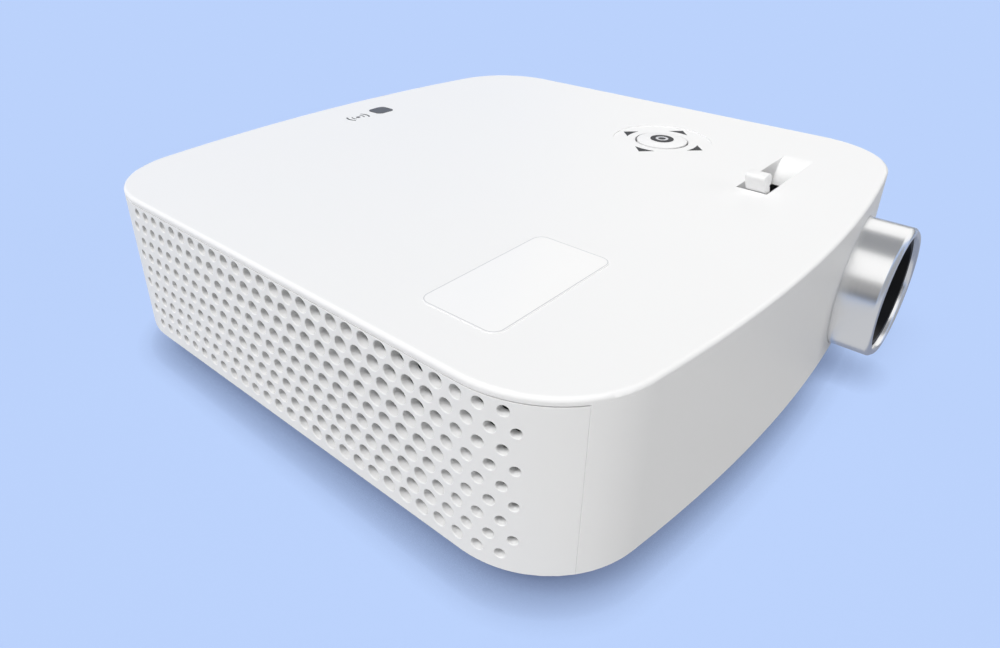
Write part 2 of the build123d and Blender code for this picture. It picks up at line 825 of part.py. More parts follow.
# Light engine: open cast box with a bore for the lens and windows for the three lamps
led_floor = led_z - led_plate / 2
engine_top = engine_bottom + engine_height
with BuildPart() as engine_housing:
    with BuildSketch(at(engine_x, engine_y, engine_bottom)):
        Rectangle(engine_width, engine_length)
    extrude(amount=engine_height)
    fillet(engine_housing.edges().filter_by(Axis.Z), engine_wall / 2)
    with BuildSketch(at(engine_x, engine_y, engine_bottom + engine_wall)):
        Rectangle(engine_width - 2 * engine_wall, engine_length - 2 * engine_wall)
    extrude(amount=engine_height, mode=Mode.SUBTRACT)
    with BuildSketch(facing_front(lens_x, engine_front + 2 * engine_wall, lens_z)):
        Circle(engine_bore)
    extrude(amount=2 * engine_wall, mode=Mode.SUBTRACT)
    with BuildSketch(facing_front(0, engine_rear, led_z)):
        with Locations((red_mirror_x, 0), (blue_mirror_x, 0)):
            Rectangle(led_window, led_window)
    extrude(amount=engine_wall, mode=Mode.SUBTRACT)
    with BuildSketch(facing_side(-1, -engine_left, engine_y, led_z)):
        Rectangle(led_window, led_window)
    extrude(amount=-engine_wall, mode=Mode.SUBTRACT)

with BuildPart() as engine_cover:
    with BuildSketch(at(engine_x, engine_y, engine_top)):
        RectangleRounded(engine_width, engine_length, engine_wall / 2)
    extrude(amount=engine_lid)

# Prism: two wedges with an air gap along the diagonal
cavity_floor = engine_bottom + engine_wall
prism_front = engine_front + engine_wall + prism_from_front
with BuildPart() as prism:
    with BuildSketch(at(lens_x, prism_front + prism_width / 2, cavity_floor)):
        Rectangle(prism_width, prism_width)
        Rectangle(2 * prism_width, prism_gap, rotation=45, mode=Mode.SUBTRACT)
    extrude(amount=prism_height)

with BuildPart() as mirror_chip:
    with BuildSketch(at(lens_x, prism_front + prism_width + chip_thickness / 2 + fit_gap, cavity_floor)):
        Rectangle(chip_width, chip_thickness)
    extrude(amount=prism_height)


# Upright colour mirror across the light path
def colour_mirror(x):
    with BuildPart() as mirror:
        with BuildSketch(at(x, engine_y, cavity_floor)):
            Rectangle(mirror_length, mirror_thickness, rotation=45)
        extrude(amount=mirror_height)
    return mirror.part


# Lamp module: copper plate on the engine's wall, with the emitter in its window
def led_module(plane):
    with BuildPart() as module:
        with BuildSketch(plane):
            Rectangle(led_plate, led_plate)
        extrude(amount=led_plate_thickness)
        with BuildSketch(plane):
            Rectangle(led_die, led_die)
        extrude(amount=-led_die_height)
    return module.part


# Plane on the engine's rear face, facing the back
def engine_back(x):
    return Plane(origin=(x, middle_y + engine_rear, led_z), x_dir=(-1, 0, 0), z_dir=(0, 1, 0))


# Heat sink: base plate with bores for the heat pipes and a row of fins along the air flow
pipe_z = sink_bottom + sink_base / 2
near_pipe_y = fan_y - sink_width / 2 + pipe_spacing
far_pipe_y = near_pipe_y + pipe_spacing
with BuildPart() as heat_sink:
    with BuildSketch(at(sink_x, fan_y, sink_bottom)):
        Rectangle(sink_length, sink_width)
    extrude(amount=sink_base)
    with BuildSketch(at(sink_x, fan_y, sink_bottom + sink_base)):
        with GridLocations(0, (sink_width - sink_fin) / (sink_fins - 1), 1, sink_fins):
            Rectangle(sink_length, sink_fin)
    extrude(amount=sink_height - sink_base)
    with BuildSketch(facing_side(1, sink_left, 0, pipe_z)):
        with Locations((near_pipe_y, 0), (far_pipe_y, 0)):
            Circle(pipe_radius + running_gap)
    extrude(amount=sink_length, mode=Mode.SUBTRACT)

# Heat pipes: one past the two rear lamps, one from the lamp on the engine's left end
led_back = engine_rear + led_plate_thickness
led_left = engine_left - led_plate_thickness
with BuildPart() as heat_pipes:
    near_y = led_back + pipe_radius
    with BuildLine():
        near_run = FilletPolyline(
            (red_mirror_x - pipe_lead, middle_y + near_y, pipe_z),
            (sink_left - pipe_lead - near_pipe_y + near_y, middle_y + near_y, pipe_z),
            (sink_left - pipe_lead, middle_y + near_pipe_y, pipe_z),
            (sink_right, middle_y + near_pipe_y, pipe_z),
            radius=pipe_bend,
        )
    with BuildSketch(Plane(origin=near_run @ 0, z_dir=near_run % 0)):
        Circle(pipe_radius)
    sweep(path=near_run)
    with BuildLine():
        far_run = FilletPolyline(
            (led_left - pipe_radius, middle_y + engine_y - led_plate / 2, pipe_z),
            (led_left - pipe_radius, middle_y + far_pipe_y, pipe_z),
            (sink_right, middle_y + far_pipe_y, pipe_z),
            radius=pipe_bend,
        )
    with BuildSketch(Plane(origin=far_run @ 0, z_dir=far_run % 0)):
        Circle(pipe_radius)
    sweep(path=far_run)


# Fan frame: square with a round duct, a hub plate on three struts and the shaft
def fan_frame(side):
    outer = facing_side(side, half_width - wall - fan_side_gap, fan_y, fan_z)
    with BuildPart() as frame:
        with BuildSketch(outer):
            RectangleRounded(fan_size, fan_size, fan_corner)
            Circle(fan_bore, mode=Mode.SUBTRACT)
        extrude(amount=-fan_depth)
        with BuildSketch(outer):
            Circle(fan_hub)
            with PolarLocations(fan_bore / 2 + fan_hub / 2, 3):
                Rectangle(fan_bore - fan_hub + fan_strut, fan_strut)
        extrude(amount=-fan_hub_plate)
        with BuildSketch(outer):
            Circle(fan_shaft)
        extrude(amount=-fan_depth)
    return frame.part


# Fan rotor: hub on the shaft with slanted blades
def fan_rotor(side):
    depth = fan_depth - fan_hub_plate - 2 * fan_axial_gap
    rotor_x = half_width - wall - fan_side_gap - fan_hub_plate - fan_axial_gap
    outer = facing_side(side, rotor_x, fan_y, fan_z)
    middle = outer.offset(-depth / 2)
    blade_start = (fan_hub + fan_shaft) / 2
    blade_end = fan_bore - fan_tip_gap
    with BuildPart() as rotor:
        with Locations(middle):
            with PolarLocations((blade_start + blade_end) / 2, fan_blades):
                Box(blade_end - blade_start, fan_blade_thickness, depth, rotation=(fan_blade_angle, 0, 0))
        with BuildSketch(outer):
            Circle(blade_end)
        extrude(amount=-depth, mode=Mode.INTERSECT)
        with BuildSketch(outer):
            Circle(fan_hub)
        extrude(amount=-depth)
        with BuildSketch(outer):
            Circle(fan_shaft + running_gap)
        extrude(amount=-depth, mode=Mode.SUBTRACT)
    return rotor.part


# Main board along the rear, with its processor, memory chips and coil
with BuildPart() as main_board:
    with BuildSketch(at(main_board_x, main_board_y, board_height)):
        Rectangle(main_board_length, main_board_width)
        with Locations(*[(x - main_board_x, y - main_board_y) for x, y in board_screws_at[:4]]):
            Circle(screw_radius + screw_gap, mode=Mode.SUBTRACT)
    extrude(amount=board_thickness)
    with BuildSketch(at(main_board_x, main_board_y, board_top)):
        with Locations((-chip_size, 0)):
            Rectangle(chip_size, chip_size)
        with GridLocations(chip_size, chip_size, 2, 1):
            with Locations((-chip_size * 2.5, 0)):
                Rectangle(chip_size / 2, chip_size * 0.8)
    extrude(amount=chip_height)

# Power board with its transformer and two capacitors
with BuildPart() as power_board:
    with BuildSketch(at(power_board_x, power_board_y, board_height)):
        Rectangle(power_board_length, power_board_width)
        with Locations(*[(x - power_board_x, y - power_board_y) for x, y in board_screws_at[4:]]):
            Circle(screw_radius + screw_gap, mode=Mode.SUBTRACT)
    extrude(amount=board_thickness)
    with BuildSketch(at(power_board_x, power_board_y, board_top)):
        Rectangle(transformer_size, transformer_size)
    extrude(amount=transformer_height)
    with BuildSketch(at(power_board_x, power_board_y + transformer_size, board_top)):
        with GridLocations(2.5 * capacitor_radius, 0, 2, 1):
            Circle(capacitor_radius)
    extrude(amount=capacitor_height)


# Plane at a socket's mouth, facing the back, at the board's top
def socket_mouth(x):
    return Plane(
        origin=(x, middle_y + face_y(x) - socket_inset, board_top),
        x_dir=(-1, 0, 0),
        z_dir=(0, 1, 0),
    )


# Sheet metal socket shell, open to the back
def socket_shell_part(x, width, height, length):
    with BuildPart() as shell:
        with BuildSketch(socket_mouth(x)):
            with Locations((0, height / 2)):
                Rectangle(width, height)
        extrude(amount=-length)
        with BuildSketch(socket_mouth(x)):
            with Locations((0, height / 2)):
                Rectangle(width - 2 * socket_shell, height - 2 * socket_shell)
        extrude(amount=2 * socket_shell - length, mode=Mode.SUBTRACT)
    return shell.part


with BuildPart() as hdmi_socket:
    add(socket_shell_part(hdmi_x, hdmi_width, hdmi_height, hdmi_length))
    with BuildSketch(socket_mouth(hdmi_x).offset(-socket_inset)):
        with Locations((0, hdmi_height / 2)):
            Rectangle(tongue_width, hdmi_tongue)
    extrude(amount=socket_inset + socket_shell - hdmi_length)

with BuildPart() as usb_socket:
    add(socket_shell_part(usb_x, usb_width, usb_height, usb_length))
    with BuildSketch(socket_mouth(usb_x).offset(-socket_inset)):
        with Locations((0, usb_height - socket_shell)):
            Rectangle(tongue_width, tongue_height, align=(Align.CENTER, Align.MAX))
    extrude(amount=socket_inset + socket_shell - usb_length)

with BuildPart() as audio_socket:
    with BuildSketch(socket_mouth(audio_x)):
        with Locations((0, audio_width / 2)):
            Rectangle(audio_width, audio_width)
            Circle(audio_bore, mode=Mode.SUBTRACT)
    extrude(amount=-audio_length)

with BuildPart() as dc_socket:
    with BuildSketch(socket_mouth(dc_x)):
        with Locations((0, dc_height / 2)):
            Rectangle(dc_width, dc_height)
    extrude(amount=-dc_length)
    with BuildSketch(socket_mouth(dc_x)):
        with Locations((0, dc_height / 2)):
            Circle(dc_bore)
            Circle(dc_pin, mode=Mode.SUBTRACT)
    extrude(amount=dc_bore - dc_length, mode=Mode.SUBTRACT)

# Speaker in its box, facing the left vents
with BuildPart() as speaker:
    speaker_face = facing_side(-1, half_width - wall - fit_gap, speaker_y, skirt_height + flange + speaker_height / 2)
    with BuildSketch(speaker_face):
        RectangleRounded(speaker_length, speaker_height, fan_corner)
    extrude(amount=-speaker_width)
    with BuildSketch(speaker_face):
        Circle(cone_radius)
    extrude(amount=-cone_depth, taper=45, mode=Mode.SUBTRACT)
    with BuildSketch(speaker_face.offset(-cone_depth)):
        Circle(cap_dome)
    extrude(amount=cone_depth / 2)

# Joystick: board and switch base, yoke, stick and cap. The two tilt axes cross at the pivot.
pivot_z = case_height - pivot_depth
key_board_top = case_height - key_board_depth
with BuildPart() as key_board:
    with BuildSketch(at(stick_x, stick_y, key_board_top)):
        RectangleRounded(key_board_length, key_board_width, boss_radius)
    extrude(amount=-thin_board)

with BuildPart() as joystick_base:
    with BuildSketch(at(stick_x, stick_y, key_board_top)):
        Rectangle(base_width, base_width)
    extrude(amount=pivot_z + base_rise - key_board_top)
    with BuildSketch(at(stick_x, stick_y, key_board_top + trunnion_radius)):
        Rectangle(base_hole, base_hole)
    extrude(amount=pivot_z + base_rise - key_board_top, mode=Mode.SUBTRACT)
    with BuildSketch(facing_side(1, stick_x - base_width / 2, stick_y, pivot_z)):
        Circle(trunnion_radius + running_gap)
    extrude(amount=base_width, mode=Mode.SUBTRACT)

with BuildPart() as joystick_yoke:
    with BuildSketch(at(stick_x, stick_y, pivot_z - yoke_height / 2)):
        Rectangle(yoke_width, yoke_width)
        Rectangle(yoke_hole, yoke_hole, mode=Mode.SUBTRACT)
    extrude(amount=yoke_height)
    with BuildSketch(facing_front(stick_x, stick_y + yoke_width / 2, pivot_z)):
        Circle(trunnion_radius + running_gap)
    extrude(amount=yoke_width, mode=Mode.SUBTRACT)
    for side in (-1, 1):
        with BuildSketch(facing_side(side, side * stick_x + yoke_hole / 2, stick_y, pivot_z)):
            Circle(trunnion_radius)
        extrude(amount=base_hole / 2 + trunnion_reach - yoke_hole / 2)

with BuildPart() as joystick_stick:
    with BuildSketch(at(stick_x, stick_y, pivot_z - yoke_height / 2)):
        Rectangle(stick_block, stick_block)
    extrude(amount=yoke_height)
    with BuildSketch(facing_front(stick_x, stick_y + yoke_hole / 2 + trunnion_reach, pivot_z)):
        Circle(trunnion_radius)
    extrude(amount=yoke_hole + 2 * trunnion_reach)
    with BuildSketch(at(stick_x, stick_y, pivot_z)):
        Circle(stick_radius)
    extrude(amount=pivot_depth - socket_floor - stick_play)

# Cap: crowned disc with a socket that slides on the stick
with BuildPart() as joystick_cap:
    cap_low = case_height - cap_edge - cap_thickness
    with BuildSketch(Plane(origin=(stick_x, middle_y + stick_y, 0), x_dir=(1, 0, 0), z_dir=(0, -1, 0))):
        with BuildLine():
            edge_top = case_height - cap_edge
            Polyline((-cap_radius, edge_top), (-cap_radius, cap_low), (cap_radius, cap_low), (cap_radius, edge_top))
            ThreePointArc((cap_radius, edge_top), (0, edge_top + cap_crown), (-cap_radius, edge_top))
        make_face()
        split(bisect_by=Plane.YZ)
    revolve(axis=Axis((stick_x, middle_y + stick_y, 0), (0, 0, 1)))
    with BuildSketch(at(stick_x, stick_y, cap_low)):
        Circle(socket_radius)
    extrude(amount=case_height - socket_depth - cap_low)
    with BuildSketch(at(stick_x, stick_y, case_height - socket_depth)):
        Circle(stick_radius + running_gap)
    extrude(amount=socket_depth - socket_floor, mode=Mode.SUBTRACT)

# Infrared window and the receiver on its board
with BuildPart() as ir_window:
    with BuildSketch(at(window_x, window_y, case_height)):
        RectangleRounded(window_width - fit_gap, window_length - fit_gap, window_corner - fit_gap / 2)
    extrude(amount=-window_thickness)

with BuildPart() as ir_board:
    ir_top = case_height - ir_board_depth
    with BuildSketch(at(window_x, window_y, ir_top)):
        Rectangle(ir_board_width, ir_board_length)
    extrude(amount=-thin_board)
    with BuildSketch(at(window_x, window_y, ir_top)):
        Rectangle(ir_body, ir_body)
    extrude(amount=ir_board_depth - window_thickness - ir_gap)

with BuildPart() as clear_film:
    with BuildSketch(at(film_x, film_y, case_height)):
        RectangleRounded(film_length, film_width, film_corner)
    extrude(amount=film_thickness)

# Screws: four that close the case from below and eight that hold the boards
with BuildPart() as case_screws:
    for x, y in case_screws_at:
        seat_z = tray_bottom + screw_head_height
        add(screw(x, y, seat_z, case_boss_split - seat_z + 2 * screw_bite, True))

with BuildPart() as board_screws:
    for x, y in board_screws_at:
        add(screw(x, y, board_top, board_thickness + screw_bite - screw_gap, False))

pieces = {
    "top_cover": top_cover.part,
    "left_vent_panel": left_vent_panel.part,
    "right_vent_panel": right_vent_panel.part,
    "front_panel": front_panel.part,
    "rear_panel": rear_panel.part,
    "bottom_cover": bottom_cover.part,
    "tripod_insert": tripod_insert.part,
    "foot_front_left": rubber_foot(-foot_x, -foot_y),
    "foot_front_right": rubber_foot(foot_x, -foot_y),
    "foot_rear_left": rubber_foot(-foot_x, foot_y),
    "foot_rear_right": rubber_foot(foot_x, foot_y),
    "lens_ring": lens_ring.part,
    "lens_baffle": lens_baffle.part,
    "lens_holder": lens_holder.part,
    "retaining_collar": retaining_collar.part,
    "focus_ring": focus_ring.part,
    "focus_lever": focus_lever.part,
    "focusing_barrel": focusing_barrel.part,
    "focus_pin": focus_pin.part,
    "front_lens": front_lens.part,
    "middle_lens": middle_lens.part,
    "rear_lens": rear_lens.part,
    "engine_housing": engine_housing.part,
    "engine_cover": engine_cover.part,
    "prism": prism.part,
    "mirror_chip": mirror_chip.part,
    "red_mirror": colour_mirror(red_mirror_x),
    "blue_mirror": colour_mirror(blue_mirror_x),
    "red_lamp": led_module(engine_back(red_mirror_x)),
    "blue_lamp": led_module(engine_back(blue_mirror_x)),
    "green_lamp": led_module(facing_side(-1, -engine_left, engine_y, led_z)),
    "heat_sink": heat_sink.part,
    "heat_pipes": heat_pipes.part,
    "left_fan_frame": fan_frame(-1),
    "left_fan_rotor": fan_rotor(-1),
    "right_fan_frame": fan_frame(1),
    "right_fan_rotor": fan_rotor(1),
    "main_board": main_board.part,
    "power_board": power_board.part,
    "hdmi_socket": hdmi_socket.part,
    "usb_socket": usb_socket.part,
    "audio_socket": audio_socket.part,
    "dc_socket": dc_socket.part,
    "speaker": speaker.part,
    "key_board": key_board.part,
    "joystick_base": joystick_base.part,
    "joystick_yoke": joystick_yoke.part,
    "joystick_stick": joystick_stick.part,
    "joystick_cap": joystick_cap.part,
    "ir_window": ir_window.part,
    "ir_board": ir_board.part,
    "clear_film": clear_film.part,
    "case_screws": case_screws.part,
    "board_screws": board_screws.part,
}
for name, piece in pieces.items():
    piece.label = name
    export_step(piece, f"parts/{name}.step")
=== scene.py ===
from math import acos, cos, inf, pi, radians, sin, tan

import bmesh
import bpy
from mathutils import Matrix, Vector


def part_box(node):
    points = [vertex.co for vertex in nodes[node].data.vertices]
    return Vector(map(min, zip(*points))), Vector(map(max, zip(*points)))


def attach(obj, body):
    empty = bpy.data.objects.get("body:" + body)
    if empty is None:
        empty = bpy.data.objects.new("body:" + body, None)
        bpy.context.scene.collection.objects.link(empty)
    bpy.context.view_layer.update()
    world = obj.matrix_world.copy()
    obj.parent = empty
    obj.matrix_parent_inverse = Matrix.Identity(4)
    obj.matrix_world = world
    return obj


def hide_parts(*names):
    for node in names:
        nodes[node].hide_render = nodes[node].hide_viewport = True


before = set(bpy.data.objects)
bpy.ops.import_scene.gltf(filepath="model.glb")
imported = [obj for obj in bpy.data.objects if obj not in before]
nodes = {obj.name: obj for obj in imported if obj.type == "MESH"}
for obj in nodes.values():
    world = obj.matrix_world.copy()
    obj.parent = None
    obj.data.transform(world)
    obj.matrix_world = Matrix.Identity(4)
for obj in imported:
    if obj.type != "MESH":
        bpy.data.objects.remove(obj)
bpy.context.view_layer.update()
slotOf = {name: node.material_slots[0].name.split(".")[0] for name, node in nodes.items()}
mm = 0.001
print("frame loaded:", len(nodes), "nodes")


# sRGB hex to linear colour
def toLinear(hexColour):
    parts = [int(hexColour[i:i + 2], 16) / 255 for i in (1, 3, 5)]
    linear = [part / 12.92 if part <= 0.04045 else ((part + 0.055) / 1.055) ** 2.4
              for part in parts]
    return linear + [1]


# A node with its settings, and its inputs as values or as links from another node
def addNode(tree, kind, inputs=None, **settings):
    node = tree.nodes.new(kind)
    for key, value in settings.items():
        setattr(node, key, value)
    for key, value in (inputs or {}).items():
        if isinstance(value, bpy.types.NodeSocket):
            tree.links.new(value, node.inputs[key])
        else:
            node.inputs[key].default_value = value
    return node


def vectorMath(tree, operation, *values):
    inputs = dict(enumerate(values))
    return addNode(tree, "ShaderNodeVectorMath", inputs, operation=operation).outputs


# A material with its tree and its shader. The values are named after the shader's sockets.
def newMaterial(name, colour, **values):
    material = bpy.data.materials.new(name)
    material.use_nodes = True
    shader = material.node_tree.nodes["Principled BSDF"]
    shader.inputs["Base Color"].default_value = toLinear(colour)
    for key, value in values.items():
        shader.inputs[key.replace("_", " ")].default_value = value
    return material, material.node_tree, shader


# Coordinates that stay with a piece as it moves
def objectPlace(tree):
    return addNode(tree, "ShaderNodeTexCoord").outputs["Object"]


def noise(tree, place, scale, detail=3.0):
    inputs = {"Vector": place, "Scale": scale, "Detail": detail}
    return addNode(tree, "ShaderNodeTexNoise", inputs).outputs[0]


def setBump(tree, shader, height, depth):
    inputs = {"Height": height, "Strength": 1.0, "Distance": depth}
    bump = addNode(tree, "ShaderNodeBump", inputs)
    tree.links.new(bump.outputs[0], shader.inputs["Normal"])


def setRoughness(tree, shader, pattern, low, high):
    inputs = {"Value": pattern, "To Min": low, "To Max": high}
    spread = addNode(tree, "ShaderNodeMapRange", inputs)
    tree.links.new(spread.outputs[0], shader.inputs["Roughness"])


# Gloss that changes slowly: scale of the patches, and by how much the roughness strays in those of
# a moulded piece and in wipe marks
glossPatches = {"scale": 45.0, "moulded": 0.04, "wiped": 0.03}


# Fine even grain that a mould leaves, as bump, with a slow change of gloss across the piece
def mouldedGrain(tree, shader, grain, depth, gloss):
    place = objectPlace(tree)
    stray = glossPatches["moulded"]
    setBump(tree, shader, noise(tree, place, 1 / grain, 2.0), depth)
    patches = noise(tree, place, glossPatches["scale"])
    setRoughness(tree, shader, patches, gloss - stray, gloss + stray)
    return place


# Fine rings that a lathe leaves about an axis along Y or Z through a point
def turnedRings(tree, shader, centre, axis, ringSize, depth):
    fromAxis = vectorMath(tree, "SUBTRACT", objectPlace(tree), centre)["Vector"]
    plane = (1, 0, 1) if axis == "Y" else (1, 1, 0)
    across = vectorMath(tree, "MULTIPLY", fromAxis, plane)["Vector"]
    radius = vectorMath(tree, "LENGTH", across)["Value"]
    along = addNode(tree, "ShaderNodeSeparateXYZ", {0: fromAxis}).outputs[axis]
    flat = addNode(tree, "ShaderNodeCombineXYZ", {0: radius, 1: along})
    rings = noise(tree, flat.outputs[0], 1 / ringSize)
    setBump(tree, shader, rings, depth)
    return rings


# Long marks along an extrusion, a ground rod or a rolled sheet
def drawnLines(tree, shader, width, length, depth):
    inputs = {"Vector": objectPlace(tree), "Scale": (1 / length, 1 / width, 1 / width)}
    stretched = addNode(tree, "ShaderNodeMapping", inputs)
    setBump(tree, shader, noise(tree, stretched.outputs[0], 1.0), depth)


# Faint wipe marks on polished glass or a mirror, as a slow change of gloss
def wipedGloss(tree, shader, size, gloss):
    place = objectPlace(tree)
    marks = noise(tree, place, 1 / size)
    setRoughness(tree, shader, marks, gloss, gloss + glossPatches["wiped"])
    return place


# Rows of cells in two colours with lines in a third: length and height of a cell, width of a line
def cellColours(tree, shader, place, sizes, colours, offset=0.5):
    length, height, gap = sizes
    first, second, line = (toLinear(colour) for colour in colours)
    cells = addNode(tree, "ShaderNodeTexBrick", {
        "Vector": place, "Scale": 1.0, "Brick Width": length, "Row Height": height,
        "Mortar Size": gap, "Color1": first, "Color2": second, "Mortar": line}, offset=offset)
    tree.links.new(cells.outputs["Color"], shader.inputs["Base Color"])


finishes = {}

# Injection-moulded ABS with a spark-eroded grain: a quiet white that scatters the light evenly and
# keeps only a soft sheen at low angles. The real grain is 0.1 mm and is drawn at 0.5 mm to show.
material, tree, shader = newMaterial("Spark-eroded ABS white", "#F5F5F5", IOR=1.53,
                                     Specular_IOR_Level=0.3)
mouldedGrain(tree, shader, 0.5 * mm, 0.012 * mm, 0.46)
finishes["case_white"] = material

# The same plastic in the coarser grain of a tray, a little greyer
material, tree, shader = newMaterial("Spark-eroded ABS tray", "#EDEDEF", IOR=1.53,
                                     Specular_IOR_Level=0.4)
mouldedGrain(tree, shader, 0.8 * mm, 0.03 * mm, 0.55)
finishes["tray_white"] = material

# Compression-moulded silicone rubber: dull, with a faint dusting
material, tree, shader = newMaterial("Moulded silicone rubber", "#4A4A4C", IOR=1.43,
                                     Specular_IOR_Level=0.3)
mouldedGrain(tree, shader, 0.6 * mm, 0.03 * mm, 0.8)
finishes["foot_rubber"] = material

# Free-cutting brass from the lathe: warm and bright, with tool rings
material, tree, shader = newMaterial("Turned brass", "#D9B05E", Metallic=1.0, Roughness=0.28)
turnedRings(tree, shader, (0, 0.0048, 0), "Z", 0.25 * mm, 0.01 * mm)
finishes["insert_brass"] = material

# Anodised aluminium, turned and then beaded: silky grey with light bands that run along the ring.
# Tool rings are 0.05 mm apart on the real one and 0.3 mm here.
material, tree, shader = newMaterial("Satin anodised aluminium", "#EDEDED", Metallic=1.0)
rings = turnedRings(tree, shader, (0.0382, 0, 0.0265), "Y", 0.3 * mm, 0.004 * mm)
setRoughness(tree, shader, rings, 0.2, 0.3)
finishes["ring_aluminium"] = material

# Black polycarbonate, moulded matt so that it throws no stray light into the lens
material, tree, shader = newMaterial("Moulded polycarbonate black", "#0E0E0F", IOR=1.58,
                                     Specular_IOR_Level=0.12)
mouldedGrain(tree, shader, 0.4 * mm, 0.01 * mm, 0.42)
finishes["black_plastic"] = material

# Glass-filled nylon: black with a slightly fibrous dull skin
material, tree, shader = newMaterial("Glass-filled nylon black", "#0E0E0F", IOR=1.53,
                                     Specular_IOR_Level=0.12)
mouldedGrain(tree, shader, 0.5 * mm, 0.02 * mm, 0.5)
finishes["barrel_black"] = material

# Optical glass with an antireflection coating: nearly clear, its reflections tinted by the film
material, tree, shader = newMaterial("Coated optical glass", "#F2F5FA", IOR=1.6,
                                     Transmission_Weight=1.0, Thin_Film_Thickness=330.0,
                                     Thin_Film_IOR=1.38)
wipedGloss(tree, shader, 4 * mm, 0.005)
finishes["lens_glass"] = material

# Crown glass of the prism, polished: clear, with a trace of haze
material, tree, shader = newMaterial("Polished prism glass", "#EEF4F4", IOR=1.52,
                                     Transmission_Weight=1.0)
wipedGloss(tree, shader, 3 * mm, 0.015)
finishes["prism_glass"] = material

# Micromirror array: a bright mirror in small cells with dark lines between them
material, tree, shader = newMaterial("Micromirror array", "#C9CAD2", Metallic=1.0)
place = wipedGloss(tree, shader, 3 * mm, 0.06)
cellColours(tree, shader, place, (0.2 * mm, 0.2 * mm, 0.02 * mm),
            ("#C9CAD2", "#BFC0C9", "#6B6C74"), offset=0.0)
finishes["chip_mirror"] = material

# Dichroic glass: clear plates that throw one colour back
for slot, name, colour in (("red_mirror_glass", "Dichroic glass red", "#E9A191"),
                           ("blue_mirror_glass", "Dichroic glass blue", "#8FB0E8")):
    material, tree, shader = newMaterial(name, colour, IOR=1.52, Transmission_Weight=0.7)
    wipedGloss(tree, shader, 3 * mm, 0.025)
    finishes[slot] = material

# Die-cast magnesium with the flow marks of the die
material, tree, shader = newMaterial("Die-cast magnesium", "#5B5B5E", Metallic=1.0)
mouldedGrain(tree, shader, 1.2 * mm, 0.04 * mm, 0.52)
finishes["engine_cast"] = material

# Copper strip and pipe, drawn and left bare
material, tree, shader = newMaterial("Drawn copper", "#C77B4E", Metallic=1.0, Roughness=0.32)
drawnLines(tree, shader, 0.3 * mm, 12 * mm, 0.01 * mm)
finishes["copper"] = material

# Extruded aluminium: pale, with die lines along the profile
material, tree, shader = newMaterial("Extruded aluminium", "#C4C6C9", Metallic=1.0, Roughness=0.36)
drawnLines(tree, shader, 0.4 * mm, 20 * mm, 0.015 * mm)
finishes["sink_aluminium"] = material

# PBT for the fans and the speaker: black with a soft gloss
material, tree, shader = newMaterial("Moulded PBT black", "#1B1B1C", IOR=1.55,
                                     Specular_IOR_Level=0.45)
mouldedGrain(tree, shader, 0.7 * mm, 0.02 * mm, 0.38)
finishes["fan_black"] = material
finishes["speaker_black"] = material

# Glass-epoxy board under green solder mask: the copper tracks under it show as lighter green lines
material, tree, shader = newMaterial("Solder-masked glass epoxy", "#0E4A2A", IOR=1.55)
place = mouldedGrain(tree, shader, 0.5 * mm, 0.008 * mm, 0.3)
cellColours(tree, shader, place, (9 * mm, 1.6 * mm, 0.16 * mm),
            ("#0E4A2A", "#115231", "#2C7A48"))
finishes["board_green"] = material

# Stamped steel, tinned: the shells of the sockets
material, tree, shader = newMaterial("Tinned steel sheet", "#B4B5B6", Metallic=1.0, Roughness=0.3)
drawnLines(tree, shader, 0.25 * mm, 8 * mm, 0.006 * mm)
finishes["socket_steel"] = material

# Nylon of the socket bodies
material, tree, shader = newMaterial("Moulded nylon black", "#171718", IOR=1.53)
mouldedGrain(tree, shader, 0.5 * mm, 0.015 * mm, 0.46)
finishes["socket_black"] = material

# Ground steel pins and sticks
material, tree, shader = newMaterial("Ground steel", "#B0B0B2", Metallic=1.0, Roughness=0.26)
drawnLines(tree, shader, 0.2 * mm, 3 * mm, 0.005 * mm)
finishes["stick_steel"] = material

# Acrylic that only infrared passes: looks like polished dark grey glass
material, tree, shader = newMaterial("Infrared acrylic", "#5E5D5B", IOR=1.49,
                                     Specular_IOR_Level=0.08)
mouldedGrain(tree, shader, 2 * mm, 0.002 * mm, 0.3)
finishes["window_grey"] = material

# Polyester film, clear, slightly cloudy over the adhesive
material, tree, shader = newMaterial("Polyester film", "#F8F8F8", IOR=1.57, Specular_IOR_Level=0.12)
mouldedGrain(tree, shader, 3 * mm, 0.002 * mm, 0.2)
finishes["film_clear"] = material

# Zinc-plated screws
material, tree, shader = newMaterial("Zinc-plated steel", "#9A9B9E", Metallic=1.0)
mouldedGrain(tree, shader, 0.4 * mm, 0.006 * mm, 0.34)
finishes["screw_steel"] = material

# Pad-printed ink: thin dark grey, with the grain of the plastic coming through
inkDark, tree, shader = newMaterial("Pad-printed ink grey", "#3C3C3D", IOR=1.5,
                                    Specular_IOR_Level=0.3)
mouldedGrain(tree, shader, 0.5 * mm, 0.006 * mm, 0.6)
inkPale, tree, shader = newMaterial("Pad-printed ink pale", "#D2D3D6", IOR=1.5,
                                    Specular_IOR_Level=0.3)
mouldedGrain(tree, shader, 0.5 * mm, 0.006 * mm, 0.6)

for name, node in nodes.items():
    node.data.materials.clear()
    node.data.materials.append(finishes[slotOf[name]])
print("materials on", len(nodes), "nodes")


